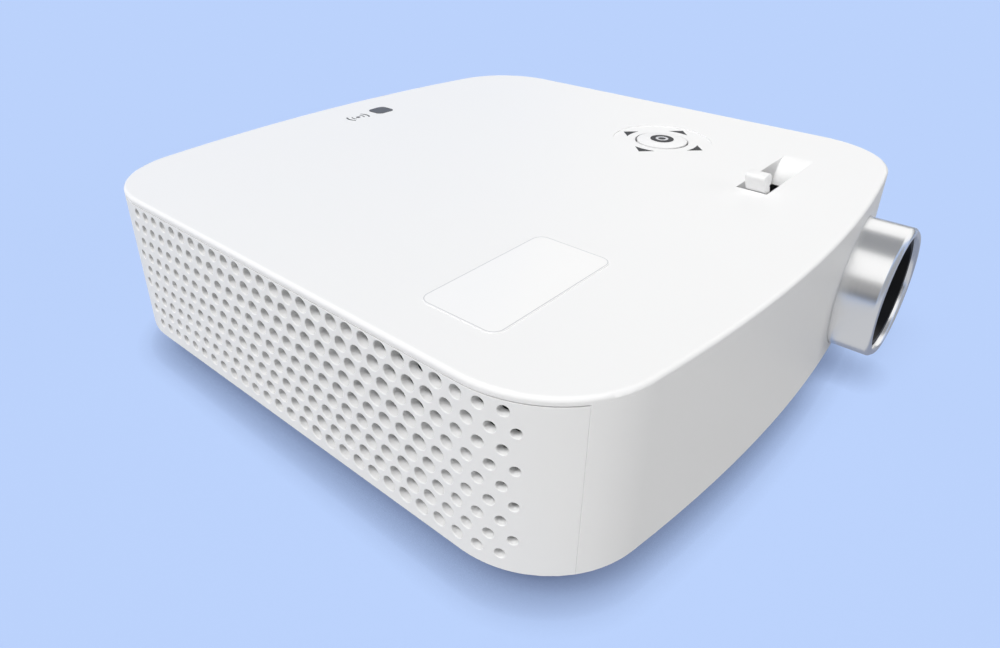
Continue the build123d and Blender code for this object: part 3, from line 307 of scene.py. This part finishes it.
# Vented side walls with staggered round holes, in mm. The holes are as large as the given share at
# the front end, in the middle and at the rear end, and change over so many columns. The bend ends
# in a flat seam, for which its inside is squeezed from the angle seamStart on, in radians.
ventWall = {"pitch": 4.68, "rowHeight": 4.06, "rows": 9, "hole": 3.3, "rim": 0.12, "draft": 0.1,
            "wall": 2.1, "smallest": 0.64, "fadeColumns": 4.5, "largest": 1.05, "rearSize": 0.76,
            "rearColumns": 16.0, "topRow": 45.15, "top": 47.5, "bottom": 8.0, "lowerEdge": 0.8,
            "seamEdge": 0.15, "seamX": 75.36, "seamStart": 0.5, "cornerRadius": 25.0,
            "cornerX": 60.0, "cornerY": 55.24, "middleY": 4.8, "rowEnd": 62.0, "stripWidth": 2.4,
            "weld": 0.01, "sharpAngle": 30}
# The middle of the rows and the crowding of the rear columns in mm. The turn is about Z, and front
# is the way along the wall that leads to the front.
ventSides = {
    "left_vent_panel": {"columns": 28, "centre": 3.0, "turn": pi, "front": 1.0, "crowding": 3.3},
    "right_vent_panel": {"columns": 14, "centre": 22.0, "turn": 0.0, "front": -1.0,
                         "crowding": 0.0}}


def newPiece(name, bm):
    mesh = bpy.data.meshes.new(name)
    bm.to_mesh(mesh)
    bm.free()
    piece = bpy.data.objects.new(name, mesh)
    bpy.context.scene.collection.objects.link(piece)
    return piece


# One hole in its own tile, as loops of equal count: face, edge break, bore and back
def ventTile(w):
    bm = bmesh.new()
    halfX, halfZ, bore = w["pitch"] / 2, w["rowHeight"] / 2, w["hole"] / 2
    steps = [i / 2 for i in range(-2, 2)]
    square = [(halfX, step * halfZ) for step in steps] + [(-step * halfX, halfZ) for step in steps]
    square += [(-x, -z) for x, z in square]
    count = len(square)
    angles = [radians(-45 + 360 / count * i) for i in range(count)]
    loops = [(square, 0.0)]
    for radius, depth in ((bore + w["rim"], 0.0), (bore, w["rim"]), (bore + w["draft"], w["wall"])):
        loops.append(([(radius * cos(a), radius * sin(a)) for a in angles], depth))
    loops.append((square, w["wall"]))
    rings = [[bm.verts.new((x * mm, depth * mm, z * mm)) for x, z in points]
             for points, depth in loops]
    for near, far in zip(rings, rings[1:]):
        for i in range(count):
            j = (i + 1) % count
            bm.faces.new((near[i], near[j], far[j], far[i]))
    tile = newPiece("ventTile", bm)
    onBore = tile.data.attributes.new("onBore", "FLOAT", "POINT")
    onBore.data.foreach_set("value", [0.0] * count + [1.0] * 3 * count + [0.0] * count)
    return tile


# Half the length of the wall, rolled out
def wallReach(w):
    bend = acos((w["seamX"] - w["cornerX"]) / w["cornerRadius"])
    return w["cornerY"] + w["cornerRadius"] * bend


# The plain parts of the wall around the holes, rolled out flat: x along the wall, y into it, z up
def ventRim(name, w, columns, centre):
    step, drop, strip = w["pitch"] / 4, w["rowHeight"] / 4, w["stripWidth"]
    reach = wallReach(w)
    lines = [centre + i * step for i in range(-2 * columns, 2 * columns + 1)]
    before, after = int((lines[0] + reach) / strip), int((reach - lines[-1]) / strip)
    lines = [-reach + (lines[0] + reach) * i / before for i in range(before)] + lines
    lines += [lines[-1] + (reach - lines[-1]) * (i + 1) / after for i in range(after)]
    lines = [-reach, w["seamEdge"] - reach] + lines[1:-1] + [reach - w["seamEdge"], reach]
    heights = [w["topRow"] + 2 * drop - i * drop for i in range(4 * w["rows"] + 1)]
    last = len(lines) - 1
    bm = bmesh.new()
    made = {}

    def at(line, depth, height):
        if line in (0, last):
            depth = max(depth, w["seamEdge"])
        key = (line, depth, round(height, 3))
        if key not in made:
            made[key] = bm.verts.new((lines[line] * mm, depth * mm, height * mm))
        return made[key]

    # A face between a line and the next one, from a depth and height to others
    def fill(line, start, end):
        bm.faces.new((at(line, *start), at(line + 1, *start), at(line + 1, *end), at(line, *end)))

    wall, low, cut = w["wall"], w["bottom"], w["lowerEdge"]
    top, foot = heights[0], heights[-1]
    section = [(0, foot), (0, low + cut), (cut, low), (wall, low), (wall, foot)]
    for i in range(last):
        middle = (lines[i] + lines[i + 1]) / 2 - centre
        for j, (high, below) in enumerate(zip(heights, heights[1:])):
            holesHere = columns - 1 + j // 4 % 2
            if abs(middle) > holesHere * w["pitch"] / 2:
                for depth in (0, wall):
                    fill(i, (depth, high), (depth, below))
        for start, end in zip(section, section[1:]):
            fill(i, start, end)
        fill(i, (0, top), (wall, top))
    for i in (0, last):
        for high, below in zip(heights, heights[1:]):
            bm.faces.new((at(i, 0, high), at(i, wall, high), at(i, wall, below), at(i, 0, below)))
        bm.faces.new([at(i, depth, height) for depth, height in section])
    return newPiece(name, bm)


# Tiles on staggered rows, joined to the rim and bent round the corners of the case
def ventTree(weld):
    tree = bpy.data.node_groups.new("ventWall", "GeometryNodeTree")
    sockets = {"Geometry": ["Geometry"], "Int": ["Columns", "Rows"],
               "Float": ["Pitch", "Row Height", "Centre", "Top Row", "Corner Radius", "Corner X",
                         "Corner Y", "Seam X", "Seam Start", "Top", "Turn", "Middle Y",
                         "Smallest", "Largest", "Fade Columns", "Rear Size", "Rear Columns",
                         "Front", "Crowding", "Row End", "Reach"],
               "Object": ["Tile"], "Material": ["Plastic"]}
    for kind, names in sockets.items():
        for name in names:
            tree.interface.new_socket(name, in_out="INPUT", socket_type="NodeSocket" + kind)
    tree.interface.new_socket("Geometry", in_out="OUTPUT", socket_type="NodeSocketGeometry")
    given = addNode(tree, "NodeGroupInput").outputs

    def work(operation, *values):
        inputs = dict(enumerate(values))
        return addNode(tree, "ShaderNodeMath", inputs, operation=operation).outputs[0]

    def position():
        return addNode(tree, "GeometryNodeInputPosition").outputs[0]

    def split(vector):
        return addNode(tree, "ShaderNodeSeparateXYZ", {0: vector}).outputs

    def store(geometry, name, value, kind):
        inputs = {"Geometry": geometry, "Name": name, "Value": value}
        return addNode(tree, "GeometryNodeStoreNamedAttribute", inputs, data_type=kind,
                       domain="POINT").outputs[0]

    def stored(name, kind):
        return addNode(tree, "GeometryNodeInputNamedAttribute", {"Name": name},
                       data_type=kind).outputs[0]

    # Size of a hole that grows from the given one to the largest between two columns
    def sizeAt(column, start, end, size):
        return addNode(tree, "ShaderNodeMapRange", {
            "Value": column, "From Min": start, "From Max": end, "To Min": size,
            "To Max": given["Largest"]}).outputs[0]

    width = work("MULTIPLY", work("SUBTRACT", given["Columns"], 1.0), given["Pitch"])
    height = work("MULTIPLY", work("SUBTRACT", given["Rows"], 1.0), given["Row Height"])
    grid = addNode(tree, "GeometryNodeMeshGrid", {
        "Size X": width, "Size Y": height, "Vertices X": given["Columns"],
        "Vertices Y": given["Rows"]})
    place = split(position())
    fromTop = work("SUBTRACT", work("MULTIPLY", height, 0.5), place["Y"])
    row = work("ROUND", work("DIVIDE", fromTop, given["Row Height"]))
    even = work("SUBTRACT", 1.0, work("MODULO", row, 2.0))
    halfPitch = work("MULTIPLY", given["Pitch"], 0.5)
    firstEnds = work("SUBTRACT", halfPitch, work("MULTIPLY", width, 0.5))
    isFirst = work("LESS_THAN", place["X"], firstEnds)
    kept = addNode(tree, "GeometryNodeDeleteGeometry", {
        "Geometry": grid.outputs["Mesh"], "Selection": work("MULTIPLY", isFirst, even)})
    inRow = work("ADD", place["X"], given["Centre"])
    spot = addNode(tree, "ShaderNodeCombineXYZ", {
        "X": work("SUBTRACT", inRow, work("MULTIPLY", even, halfPitch)),
        "Z": work("SUBTRACT", given["Top Row"], work("MULTIPLY", row, given["Row Height"]))})
    spots = addNode(tree, "GeometryNodeSetPosition", {
        "Geometry": kept.outputs[0], "Position": spot.outputs[0]})
    here = position()
    centred = store(spots.outputs[0], "holeCentre", here, "FLOAT_VECTOR")
    fromCentre = work("SUBTRACT", split(here)["X"], given["Centre"])
    fromCentre = work("MULTIPLY", fromCentre, given["Front"])
    halfColumns = work("MULTIPLY", given["Columns"], 0.5)
    fromFront = work("SUBTRACT", halfColumns, work("DIVIDE", fromCentre, given["Pitch"]))
    fromRear = work("SUBTRACT", given["Columns"], fromFront)
    fadeEnd = work("ADD", given["Fade Columns"], 0.5)
    frontSize = sizeAt(fromFront, 0.5, fadeEnd, given["Smallest"])
    rearSize = sizeAt(fromRear, 0.0, given["Rear Columns"], given["Rear Size"])
    sized = store(centred, "holeSize", work("MINIMUM", frontSize, rearSize), "FLOAT")
    tile = addNode(tree, "GeometryNodeObjectInfo", {"Object": given["Tile"]})
    tiles = addNode(tree, "GeometryNodeInstanceOnPoints", {
        "Points": sized, "Instance": tile.outputs["Geometry"]})
    plain = addNode(tree, "GeometryNodeRealizeInstances", {"Geometry": tiles.outputs[0]})
    outward = vectorMath(tree, "SUBTRACT", here, stored("holeCentre", "FLOAT_VECTOR"))["Vector"]
    across = vectorMath(tree, "MULTIPLY", outward, (1, 0, 1))["Vector"]
    growth = work("MULTIPLY", work("SUBTRACT", stored("holeSize", "FLOAT"), 1.0),
                  stored("onBore", "FLOAT"))
    grown = addNode(tree, "ShaderNodeVectorMath", {0: across, "Scale": growth}, operation="SCALE")
    solid = addNode(tree, "GeometryNodeSetPosition", {
        "Geometry": plain.outputs[0], "Offset": grown.outputs[0]})
    joined = addNode(tree, "GeometryNodeJoinGeometry")
    tree.links.new(given["Geometry"], joined.inputs[0])
    tree.links.new(solid.outputs[0], joined.inputs[0])
    merged = addNode(tree, "GeometryNodeMergeByDistance", {
        "Geometry": joined.outputs[0], "Distance": weld})

    # The rear columns crowd towards the end of the rows, and past it the wall makes up for that
    rolled = split(position())
    toRear = work("MULTIPLY", rolled["X"], work("MULTIPLY", given["Front"], -1.0))
    shareOfRows = work("MAXIMUM", work("DIVIDE", toRear, given["Row End"]), 0.0)
    nearEnd = work("POWER", shareOfRows, 3.0)
    pastEnd = work("DIVIDE", work("SUBTRACT", given["Reach"], toRear),
                   work("SUBTRACT", given["Reach"], given["Row End"]))
    crowded = work("MULTIPLY", nearEnd, work("MINIMUM", pastEnd, 1.0))
    crowd = work("MULTIPLY", crowded, given["Crowding"])
    along = work("MULTIPLY_ADD", crowd, given["Front"], rolled["X"])

    length = work("ABSOLUTE", along)
    straight = work("MINIMUM", length, given["Corner Y"])
    radius = work("SUBTRACT", given["Corner Radius"], rolled["Y"])
    seamInside = work("SUBTRACT", given["Seam X"], given["Corner X"])
    seamHere, seamOutside = (
        work("SUBTRACT", work("ARCCOSINE", work("DIVIDE", seamInside, bend)), given["Seam Start"])
        for bend in (radius, given["Corner Radius"]))
    fullTurn = work("DIVIDE", work("SUBTRACT", length, straight), given["Corner Radius"])
    early = work("MINIMUM", fullTurn, given["Seam Start"])
    squeeze = work("DIVIDE", seamHere, seamOutside)
    turn = work("MULTIPLY_ADD", work("SUBTRACT", fullTurn, early), squeeze, early)
    bentY = work("MULTIPLY_ADD", radius, work("SINE", turn), straight)
    bent = addNode(tree, "ShaderNodeCombineXYZ", {
        "X": work("MULTIPLY_ADD", radius, work("COSINE", turn), given["Corner X"]),
        "Y": work("MULTIPLY", work("SIGN", along), bentY),
        "Z": work("MINIMUM", rolled["Z"], given["Top"])})
    turned = addNode(tree, "ShaderNodeVectorRotate", {
        "Vector": bent.outputs[0], "Angle": given["Turn"]}, rotation_type="Z_AXIS")
    middle = addNode(tree, "ShaderNodeCombineXYZ", {"Y": given["Middle Y"]})
    moved = vectorMath(tree, "ADD", turned.outputs[0], middle.outputs[0])["Vector"]
    wrapped = addNode(tree, "GeometryNodeSetPosition", {
        "Geometry": merged.outputs[0], "Position": moved})
    whole = addNode(tree, "GeometryNodeRealizeInstances", {"Geometry": wrapped.outputs[0]})
    plastic = addNode(tree, "GeometryNodeSetMaterial", {
        "Geometry": whole.outputs[0], "Material": given["Plastic"]})
    addNode(tree, "NodeGroupOutput", {"Geometry": plastic.outputs[0]})
    return tree


# Runs a tree on a piece and keeps the result as its plain mesh
def applyTree(piece, tree, values):
    modifier = piece.modifiers.new(tree.name, "NODES")
    modifier.node_group = tree
    for item in tree.interface.items_tree:
        if item.in_out == "INPUT" and item.name in values:
            modifier[item.identifier] = values[item.name]
    ready = piece.evaluated_get(bpy.context.evaluated_depsgraph_get())
    mesh = bpy.data.meshes.new_from_object(ready)
    piece.modifiers.clear()
    piece.data = mesh


# Outward normals and smooth shading that stops at real edges
def smoothMesh(mesh, sharpAngle):
    bm = bmesh.new()
    bm.from_mesh(mesh)
    bmesh.ops.recalc_face_normals(bm, faces=bm.faces)
    bm.to_mesh(mesh)
    bm.free()
    mesh.shade_smooth()
    mesh.set_sharp_from_angle(angle=radians(sharpAngle))


tile = ventTile(ventWall)
tree = ventTree(ventWall["weld"] * mm)
for node, side in ventSides.items():
    panel = ventRim(node.replace("_panel", "_wall"), ventWall, side["columns"], side["centre"])
    lengths = {
        "Pitch": ventWall["pitch"], "Row Height": ventWall["rowHeight"], "Centre": side["centre"],
        "Top Row": ventWall["topRow"], "Corner Radius": ventWall["cornerRadius"],
        "Corner X": ventWall["cornerX"], "Corner Y": ventWall["cornerY"],
        "Seam X": ventWall["seamX"], "Top": ventWall["top"], "Middle Y": ventWall["middleY"],
        "Crowding": side["crowding"], "Row End": ventWall["rowEnd"], "Reach": wallReach(ventWall)}
    values = {name: length * mm for name, length in lengths.items()}
    values.update({
        "Columns": side["columns"], "Rows": ventWall["rows"], "Seam Start": ventWall["seamStart"],
        "Smallest": ventWall["smallest"], "Fade Columns": ventWall["fadeColumns"],
        "Largest": ventWall["largest"], "Rear Size": ventWall["rearSize"],
        "Rear Columns": ventWall["rearColumns"], "Turn": side["turn"], "Front": side["front"],
        "Tile": tile, "Plastic": finishes["case_white"]})
    applyTree(panel, tree, values)
    smoothMesh(panel.data, ventWall["sharpAngle"])
    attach(panel, "housing")
    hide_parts(node)
    print(node, "redrawn with", len(panel.data.polygons), "faces")
bpy.data.objects.remove(tile)


def circle(centre, radius, count=48):
    turns = [2 * pi * i / count for i in range(count)]
    return [(centre[0] + radius * cos(turn), centre[1] + radius * sin(turn)) for turn in turns]


# Lens ring turned from a bar: a thin bright lip with a bevel outside, and a mouth blacked against
# stray light. The profile is radius and distance behind the front edge in mm, and whether the cut
# is blacked.
ring = {"axis": (38.2, 26.5), "flange": 1.5, "mouth": 7.0, "sides": 96, "sharpAngle": 40}
ringFront, ringBack = (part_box("lens_ring")[i][1] / mm for i in (0, 1))
ringDeep = ringBack - ringFront
flangeDeep = ringDeep - ring["flange"]
ringProfile = [(14.5, ringDeep, 0), (18.4, ringDeep, 0), (18.4, flangeDeep, 0),
               (17.5, flangeDeep, 0), (17.5, 1.3, 0), (17.42, 1.05, 0), (16.75, 0.3, 0),
               (16.35, 0.06, 0), (16.0, 0, 0), (15.75, 0.06, 0), (15.5, 0.3, 0), (15.3, 0.6, 0),
               (15.15, 1.35, 1), (14.55, 1.6, 1), (14.5, 2.2, 1), (14.5, ring["mouth"], 1)]
bm = bmesh.new()
rounds = [[bm.verts.new((x * mm, (ringFront + deep) * mm, z * mm))
           for x, z in circle(ring["axis"], radius, ring["sides"])]
          for radius, deep, _ in ringProfile]
for k, here in enumerate(rounds):
    following = rounds[(k + 1) % len(rounds)]
    for i in range(ring["sides"]):
        j = (i + 1) % ring["sides"]
        face = bm.faces.new((here[i], here[j], following[j], following[i]))
        face.material_index = ringProfile[k][2]
mouth = newPiece("lens_mouth", bm)
mouth.data.materials.append(finishes["ring_aluminium"])
mouth.data.materials.append(finishes["black_plastic"])
smoothMesh(mouth.data, ring["sharpAngle"])
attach(mouth, "housing")
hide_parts("lens_ring")
print("lens ring turned")


# Focus lever with its grip rounded over for the finger: one wide edge, and small ones at the
# sides. Sizes are in mm, angles in degrees.
leverGrip = {"height": 3.5, "lipDepth": 0.5, "wideEdge": 1.3, "wideSteps": 6, "sideEdge": 0.3,
             "sideSteps": 3, "slack": 0.1, "weld": 0.001, "flatAngle": 1, "edgeAngle": 28,
             "sharpAngle": 30}


# Rounds the sharp edges above a height and before an x, and counts them
def roundEdges(bm, above, before, size, steps):
    edges = [edge for edge in bm.edges if len(edge.link_faces) == 2
             and edge.calc_face_angle() > radians(leverGrip["edgeAngle"])
             and min(vert.co.z for vert in edge.verts) > above - leverGrip["slack"] * mm
             and max(vert.co.x for vert in edge.verts) < before]
    bmesh.ops.bevel(bm, geom=edges, offset=size * mm, segments=steps, profile=0.5, affect="EDGES")
    return len(edges)


mesh = nodes["focus_lever"].data.copy()
bm = bmesh.new()
bm.from_mesh(mesh)
bmesh.ops.remove_doubles(bm, verts=bm.verts, dist=leverGrip["weld"] * mm)
bmesh.ops.dissolve_limit(bm, angle_limit=radians(leverGrip["flatAngle"]), verts=bm.verts,
                         edges=bm.edges)
leverLow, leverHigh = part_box("focus_lever")
lipX = leverLow[0] + leverGrip["lipDepth"] * mm
gripLow = leverHigh[2] - leverGrip["height"] * mm
wideCount = roundEdges(bm, leverHigh[2], lipX, leverGrip["wideEdge"], leverGrip["wideSteps"])
sideCount = roundEdges(bm, gripLow, inf, leverGrip["sideEdge"], leverGrip["sideSteps"])
bm.to_mesh(mesh)
bm.free()
smoothMesh(mesh, leverGrip["sharpAngle"])
lever = bpy.data.objects.new("lever_grip", mesh)
bpy.context.scene.collection.objects.link(lever)
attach(lever, "focus_ring")
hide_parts("focus_lever")
print("lever rounded,", wideCount, "and", sideCount, "edges")


# A thin plate of ink from outlines in mm, each a plain polygon or a pair of loops with a hole
def inkPlate(name, outlines, low, thick, material, body):
    bm = bmesh.new()
    for outer, inner in outlines:
        levels = [[[bm.verts.new((x * mm, y * mm, height * mm)) for x, y in loop]
                   for loop in (outer, inner or [])] for height in (low, low + thick)]
        (bottomOuter, bottomInner), (topOuter, topInner) = levels
        count = len(outer)
        if not inner:
            bm.faces.new(topOuter)
            bm.faces.new(bottomOuter[::-1])
        for i in range(count):
            j = (i + 1) % count
            bm.faces.new((bottomOuter[i], bottomOuter[j], topOuter[j], topOuter[i]))
            if inner:
                bm.faces.new((topInner[i], topInner[j], bottomInner[j], bottomInner[i]))
                bm.faces.new((topOuter[i], topOuter[j], topInner[j], topInner[i]))
                bm.faces.new((bottomOuter[j], bottomOuter[i], bottomInner[i], bottomInner[j]))
    bmesh.ops.recalc_face_normals(bm, faces=bm.faces)
    plate = newPiece(name, bm)
    plate.data.materials.append(material)
    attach(plate, body)


# Piece of a ring about a centre, from one angle to another in degrees
def arcBand(centre, radius, width, start, end, count=10):
    angles = [radians(start + (end - start) * i / count) for i in range(count + 1)]
    outer, inner = radius + width / 2, radius - width / 2
    edge = [(outer, a) for a in angles] + [(inner, a) for a in angles[::-1]]
    return [(centre[0] + r * cos(a), centre[1] + r * sin(a)) for r, a in edge]


# Outline of a rounded rectangle about a centre
def roundedBox(centre, halfX, halfY, radius, steps=8):
    points = []
    for corner, (signX, signY) in enumerate(((1, 1), (-1, 1), (-1, -1), (1, -1))):
        for i in range(steps + 1):
            turn = pi / 2 * (corner + i / steps)
            points.append((centre[0] + signX * (halfX - radius) + radius * cos(turn),
                           centre[1] + signY * (halfY - radius) + radius * sin(turn)))
    return points


# Centre, half sizes and top of a box in mm
def boxPlan(low, high):
    centre = [(low[i] + high[i]) / 2 / mm for i in (0, 1)]
    half = [(high[i] - low[i]) / 2 / mm for i in (0, 1)]
    return centre, half, high[2] / mm


# Four arrows with hollow bases in the joystick's dish, and a disc with a pale ring on its cap
caseTop = 49.0
keyMarks = {"centre": (46.8, -14.0), "dish": 0.3, "apex": 13.7, "base": 10.3, "halfWidth": 3.3,
            "hollow": 0.45, "baseSteps": 8, "disc": 3.55, "ringOuter": 1.95, "ringInner": 1.15,
            "ink": 0.03}
keyX, keyY = keyMarks["centre"]
base, halfWidth, baseSteps = (keyMarks[key] for key in ("base", "halfWidth", "baseSteps"))
arrow = [(keyMarks["apex"], 0), (base, halfWidth)]
for i in range(1, baseSteps):
    across = halfWidth * (1 - 2 * i / baseSteps)
    sag = keyMarks["hollow"] * (1 - (across / halfWidth) ** 2)
    arrow.append((base + sag, across))
arrow.append((base, -halfWidth))
arrows = []
for quarter in range(4):
    c, s = cos(quarter * pi / 2), sin(quarter * pi / 2)
    arrows.append(([(keyX + c * x - s * y, keyY + s * x + c * y) for x, y in arrow], None))
dishFloor = caseTop - keyMarks["dish"]
inkPlate("arrow_marks", arrows, dishFloor, keyMarks["ink"], inkDark, "housing")

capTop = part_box("joystick_cap")[1][2] / mm
disc, ringOuter, ringInner = (circle(keyMarks["centre"], keyMarks[key])
                              for key in ("disc", "ringOuter", "ringInner"))
inkPlate("cap_disc", [(disc, None)], capTop, keyMarks["ink"], inkDark, "joystick_cap")
inkPlate("cap_ring", [(ringOuter, ringInner)], capTop + keyMarks["ink"], keyMarks["ink"] / 2,
         inkPale, "joystick_cap")

# Signal waves beside the infrared window: a dot, and arcs of a radius and a width
signalMark = {"centre": (-0.9, 73.9), "dot": 0.75, "dotSides": 20,
              "arcs": ((2.0, 0.42), (3.7, 0.55)), "spread": 38, "ink": 0.03}
waves = [(circle(signalMark["centre"], signalMark["dot"], signalMark["dotSides"]), None)]
for radius, width in signalMark["arcs"]:
    for middle in (0, 180):
        start, end = middle - signalMark["spread"], middle + signalMark["spread"]
        waves.append((arcBand(signalMark["centre"], radius, width, start, end), None))
inkPlate("signal_mark", waves, caseTop, signalMark["ink"], inkDark, "housing")

# Pane of the infrared window, stuck over its hole
windowPane = {"halfX": 3.6, "halfY": 3.3, "corner": 1.9, "proud": 0.08}
windowCentre = boxPlan(*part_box("ir_window"))[0]
outline = roundedBox(windowCentre, windowPane["halfX"], windowPane["halfY"], windowPane["corner"])
inkPlate("ir_pane", [(outline, None)], caseTop, windowPane["proud"], finishes["window_grey"],
         "housing")

# Printed hairline along the edge of the film
filmEdge = {"inset": 0.25, "width": 0.22, "corner": 2.8, "ink": 0.01}
filmCentre, filmHalf, filmTop = boxPlan(*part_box("clear_film"))
insets = (filmEdge["inset"], filmEdge["inset"] + filmEdge["width"])
loops = [roundedBox(filmCentre, filmHalf[0] - inset, filmHalf[1] - inset,
                    filmEdge["corner"] - inset) for inset in insets]
inkPlate("film_edge", [loops], filmTop, filmEdge["ink"], inkPale, "housing")
print("marks printed")

# Backdrop paper under and behind the object. The lamps meet a grey floor, and the camera sees the
# backdrop colour, with a share of the lamps' shadow. A contact shadow in its own colour ends within
# the reaches in mm. Ambient is the strength of the even light from all sides.
studio = {"backdrop": "#BBD2FC", "floor": "#ABABAB", "floorSize": 6, "ambient": 0.305,
          "shadowShare": 0.14, "contact": "#000A42", "contactReaches": (4, 11)}


# What a camera, a reflection or a pane shows of the surroundings, against what lights the object
def seenRays(tree):
    path = addNode(tree, "ShaderNodeLightPath").outputs
    seen = path["Is Camera Ray"]
    for ray in ("Is Glossy Ray", "Is Transmission Ray"):
        inputs = {0: seen, 1: path[ray]}
        seen = addNode(tree, "ShaderNodeMath", inputs, operation="MAXIMUM").outputs[0]
    return seen


# The tree of a world or a material, emptied
def emptyTree(owner):
    owner.use_nodes = True
    owner.node_tree.nodes.clear()
    return owner.node_tree


backdrop = toLinear(studio["backdrop"])
world = bpy.data.worlds.new("studio")
bpy.context.scene.world = world
tree = emptyTree(world)
light = {"Color": (1, 1, 1, 1), "Strength": studio["ambient"]}
plain = addNode(tree, "ShaderNodeBackground", light)
shown = addNode(tree, "ShaderNodeBackground", {"Color": backdrop, "Strength": 1.0})
mixed = addNode(tree, "ShaderNodeMixShader", {
    0: seenRays(tree), 1: plain.outputs[0], 2: shown.outputs[0]})
addNode(tree, "ShaderNodeOutputWorld", {"Surface": mixed.outputs[0]})

bpy.ops.mesh.primitive_plane_add(size=studio["floorSize"])
floor = bpy.context.object
floor.name = "studio_floor"
paper = bpy.data.materials.new("Backdrop paper")
tree = emptyTree(paper)
near, wide = [
    addNode(tree, "ShaderNodeAmbientOcclusion", {"Distance": reach * mm}, samples=8).outputs["AO"]
    for reach in studio["contactReaches"]]
openness = addNode(tree, "ShaderNodeMath", {0: near, 1: wide}, operation="MULTIPLY")
shade = addNode(tree, "ShaderNodeMix", {
    0: openness.outputs[0], 6: toLinear(studio["contact"]), 7: backdrop}, data_type="RGBA")
glow = addNode(tree, "ShaderNodeEmission", {"Color": shade.outputs[2], "Strength": 1.0})
tinted = addNode(tree, "ShaderNodeBsdfDiffuse", {"Color": backdrop})
shown = addNode(tree, "ShaderNodeMixShader", {
    0: studio["shadowShare"], 1: glow.outputs[0], 2: tinted.outputs[0]})
plain = addNode(tree, "ShaderNodeBsdfDiffuse", {"Color": toLinear(studio["floor"])})
mixed = addNode(tree, "ShaderNodeMixShader", {
    0: seenRays(tree), 1: plain.outputs[0], 2: shown.outputs[0]})
addNode(tree, "ShaderNodeOutputMaterial", {"Surface": mixed.outputs[0]})
floor.data.materials.append(paper)


# Points the Z axis of a lamp or panel along a direction
def facing(direction):
    return Vector(direction).to_track_quat("Z", "Y").to_matrix().to_4x4()


# Large far lamps: the direction that they shine from, strength, and width in degrees
farLamps = {"key": ((-0.57, 0.0, 0.82), 2.5, 24), "front": ((0.3, -0.93, 0.2), 0.7, 40)}
for name, (source, strength, width) in farLamps.items():
    lamp = bpy.data.lights.new(name, "SUN")
    lamp.energy, lamp.angle = strength, radians(width)
    far = bpy.data.objects.new(name, lamp)
    far.visible_glossy = False
    far.matrix_world = facing(source)
    bpy.context.scene.collection.objects.link(far)

# Panels round the object that only reflections show, each with its middle, the way that it faces,
# its size in m and its grey. Those of the arc stand side by side about the lens ring, from one
# angle over +x to the next, in degrees. The sheets lie in front on the floor.
ringSees = Vector((0.0382, -0.081, 0.0265))
arcReach, arcLength, boxStrength = 1.1, 1.6, 1.15
arc = (("right_card", -26, 10, "#6E7176"), ("right_box", 10, 54, "#FFFFFF"),
       ("top_card", 54, 100, "#9B9DA1"), ("left_box", 100, 146, "#FFFFFF"),
       ("low_card", 146, 169, "#A2A2A3"), ("dark_card", 169, 179, "#5A5B5E"))
sheetY, sheetHeight, sheetDepth = -0.265, 0.0005, 0.372
sheets = (("left_sheet", -0.21, 0.48, "#CFD1D6"), ("right_sheet", 0.26, 0.36, "#A6ACBC"),
          ("middle_sheet", 0.055, 0.05, "#939BAF"))
panels = []
for name, start, end, grey in arc:
    middle, half = radians((start + end) / 2), radians((end - start) / 2)
    outward = Vector((cos(middle), 0, sin(middle)))
    size = (arcLength, 2 * arcReach * tan(half))
    panels.append((name, ringSees + arcReach * outward, -outward, size, grey))
panels.append(("front_card", (0, -0.95, 0.35), (0, 1, 0), (1.6, 0.8), "#A9ACB2"))
for name, x, width, grey in sheets:
    panels.append((name, (x, sheetY, sheetHeight), (0, 0, 1), (width, sheetDepth), grey))
for name, place, direction, (across, along), grey in panels:
    bpy.ops.mesh.primitive_plane_add(size=1)
    panel = bpy.context.object
    panel.name = "studio_" + name
    scaled = Matrix.Diagonal((across, along, 1, 1))
    panel.matrix_world = Matrix.Translation(place) @ facing(direction) @ scaled
    paint = bpy.data.materials.new("Studio panel")
    tree = emptyTree(paint)
    strength = boxStrength if "box" in name else 1.0
    glow = addNode(tree, "ShaderNodeEmission", {"Color": toLinear(grey), "Strength": strength})
    addNode(tree, "ShaderNodeOutputMaterial", {"Surface": glow.outputs[0]})
    panel.data.materials.append(paint)
    panel.visible_camera = panel.visible_diffuse = False
    panel.visible_shadow = panel.visible_transmission = False

# The photograph's view, from the outline of the case and the rows of holes
shot = {"place": (-0.156051, -0.117716, 0.120415), "right": (0.65740, -0.75350, 0.00775),
        "down": (-0.35222, -0.31635, -0.88083), "forward": (0.66616, 0.57633, -0.47337),
        "lens": 26.508, "sensor": 36.0, "shift": (0.0141, -0.0511), "nearest": 0.01}
lens = bpy.data.cameras.new("camera")
lens.lens, lens.sensor_width, lens.clip_start = shot["lens"], shot["sensor"], shot["nearest"]
lens.shift_x, lens.shift_y = shot["shift"]
camera = bpy.data.objects.new("camera", lens)
axes = Matrix((shot["right"], [-v for v in shot["down"]], [-v for v in shot["forward"]]))
camera.matrix_world = Matrix.Translation(shot["place"]) @ axes.transposed().to_4x4()
bpy.context.scene.collection.objects.link(camera)
bpy.context.scene.camera = camera
bpy.context.scene.view_settings.view_transform = "Standard"
print("studio set")
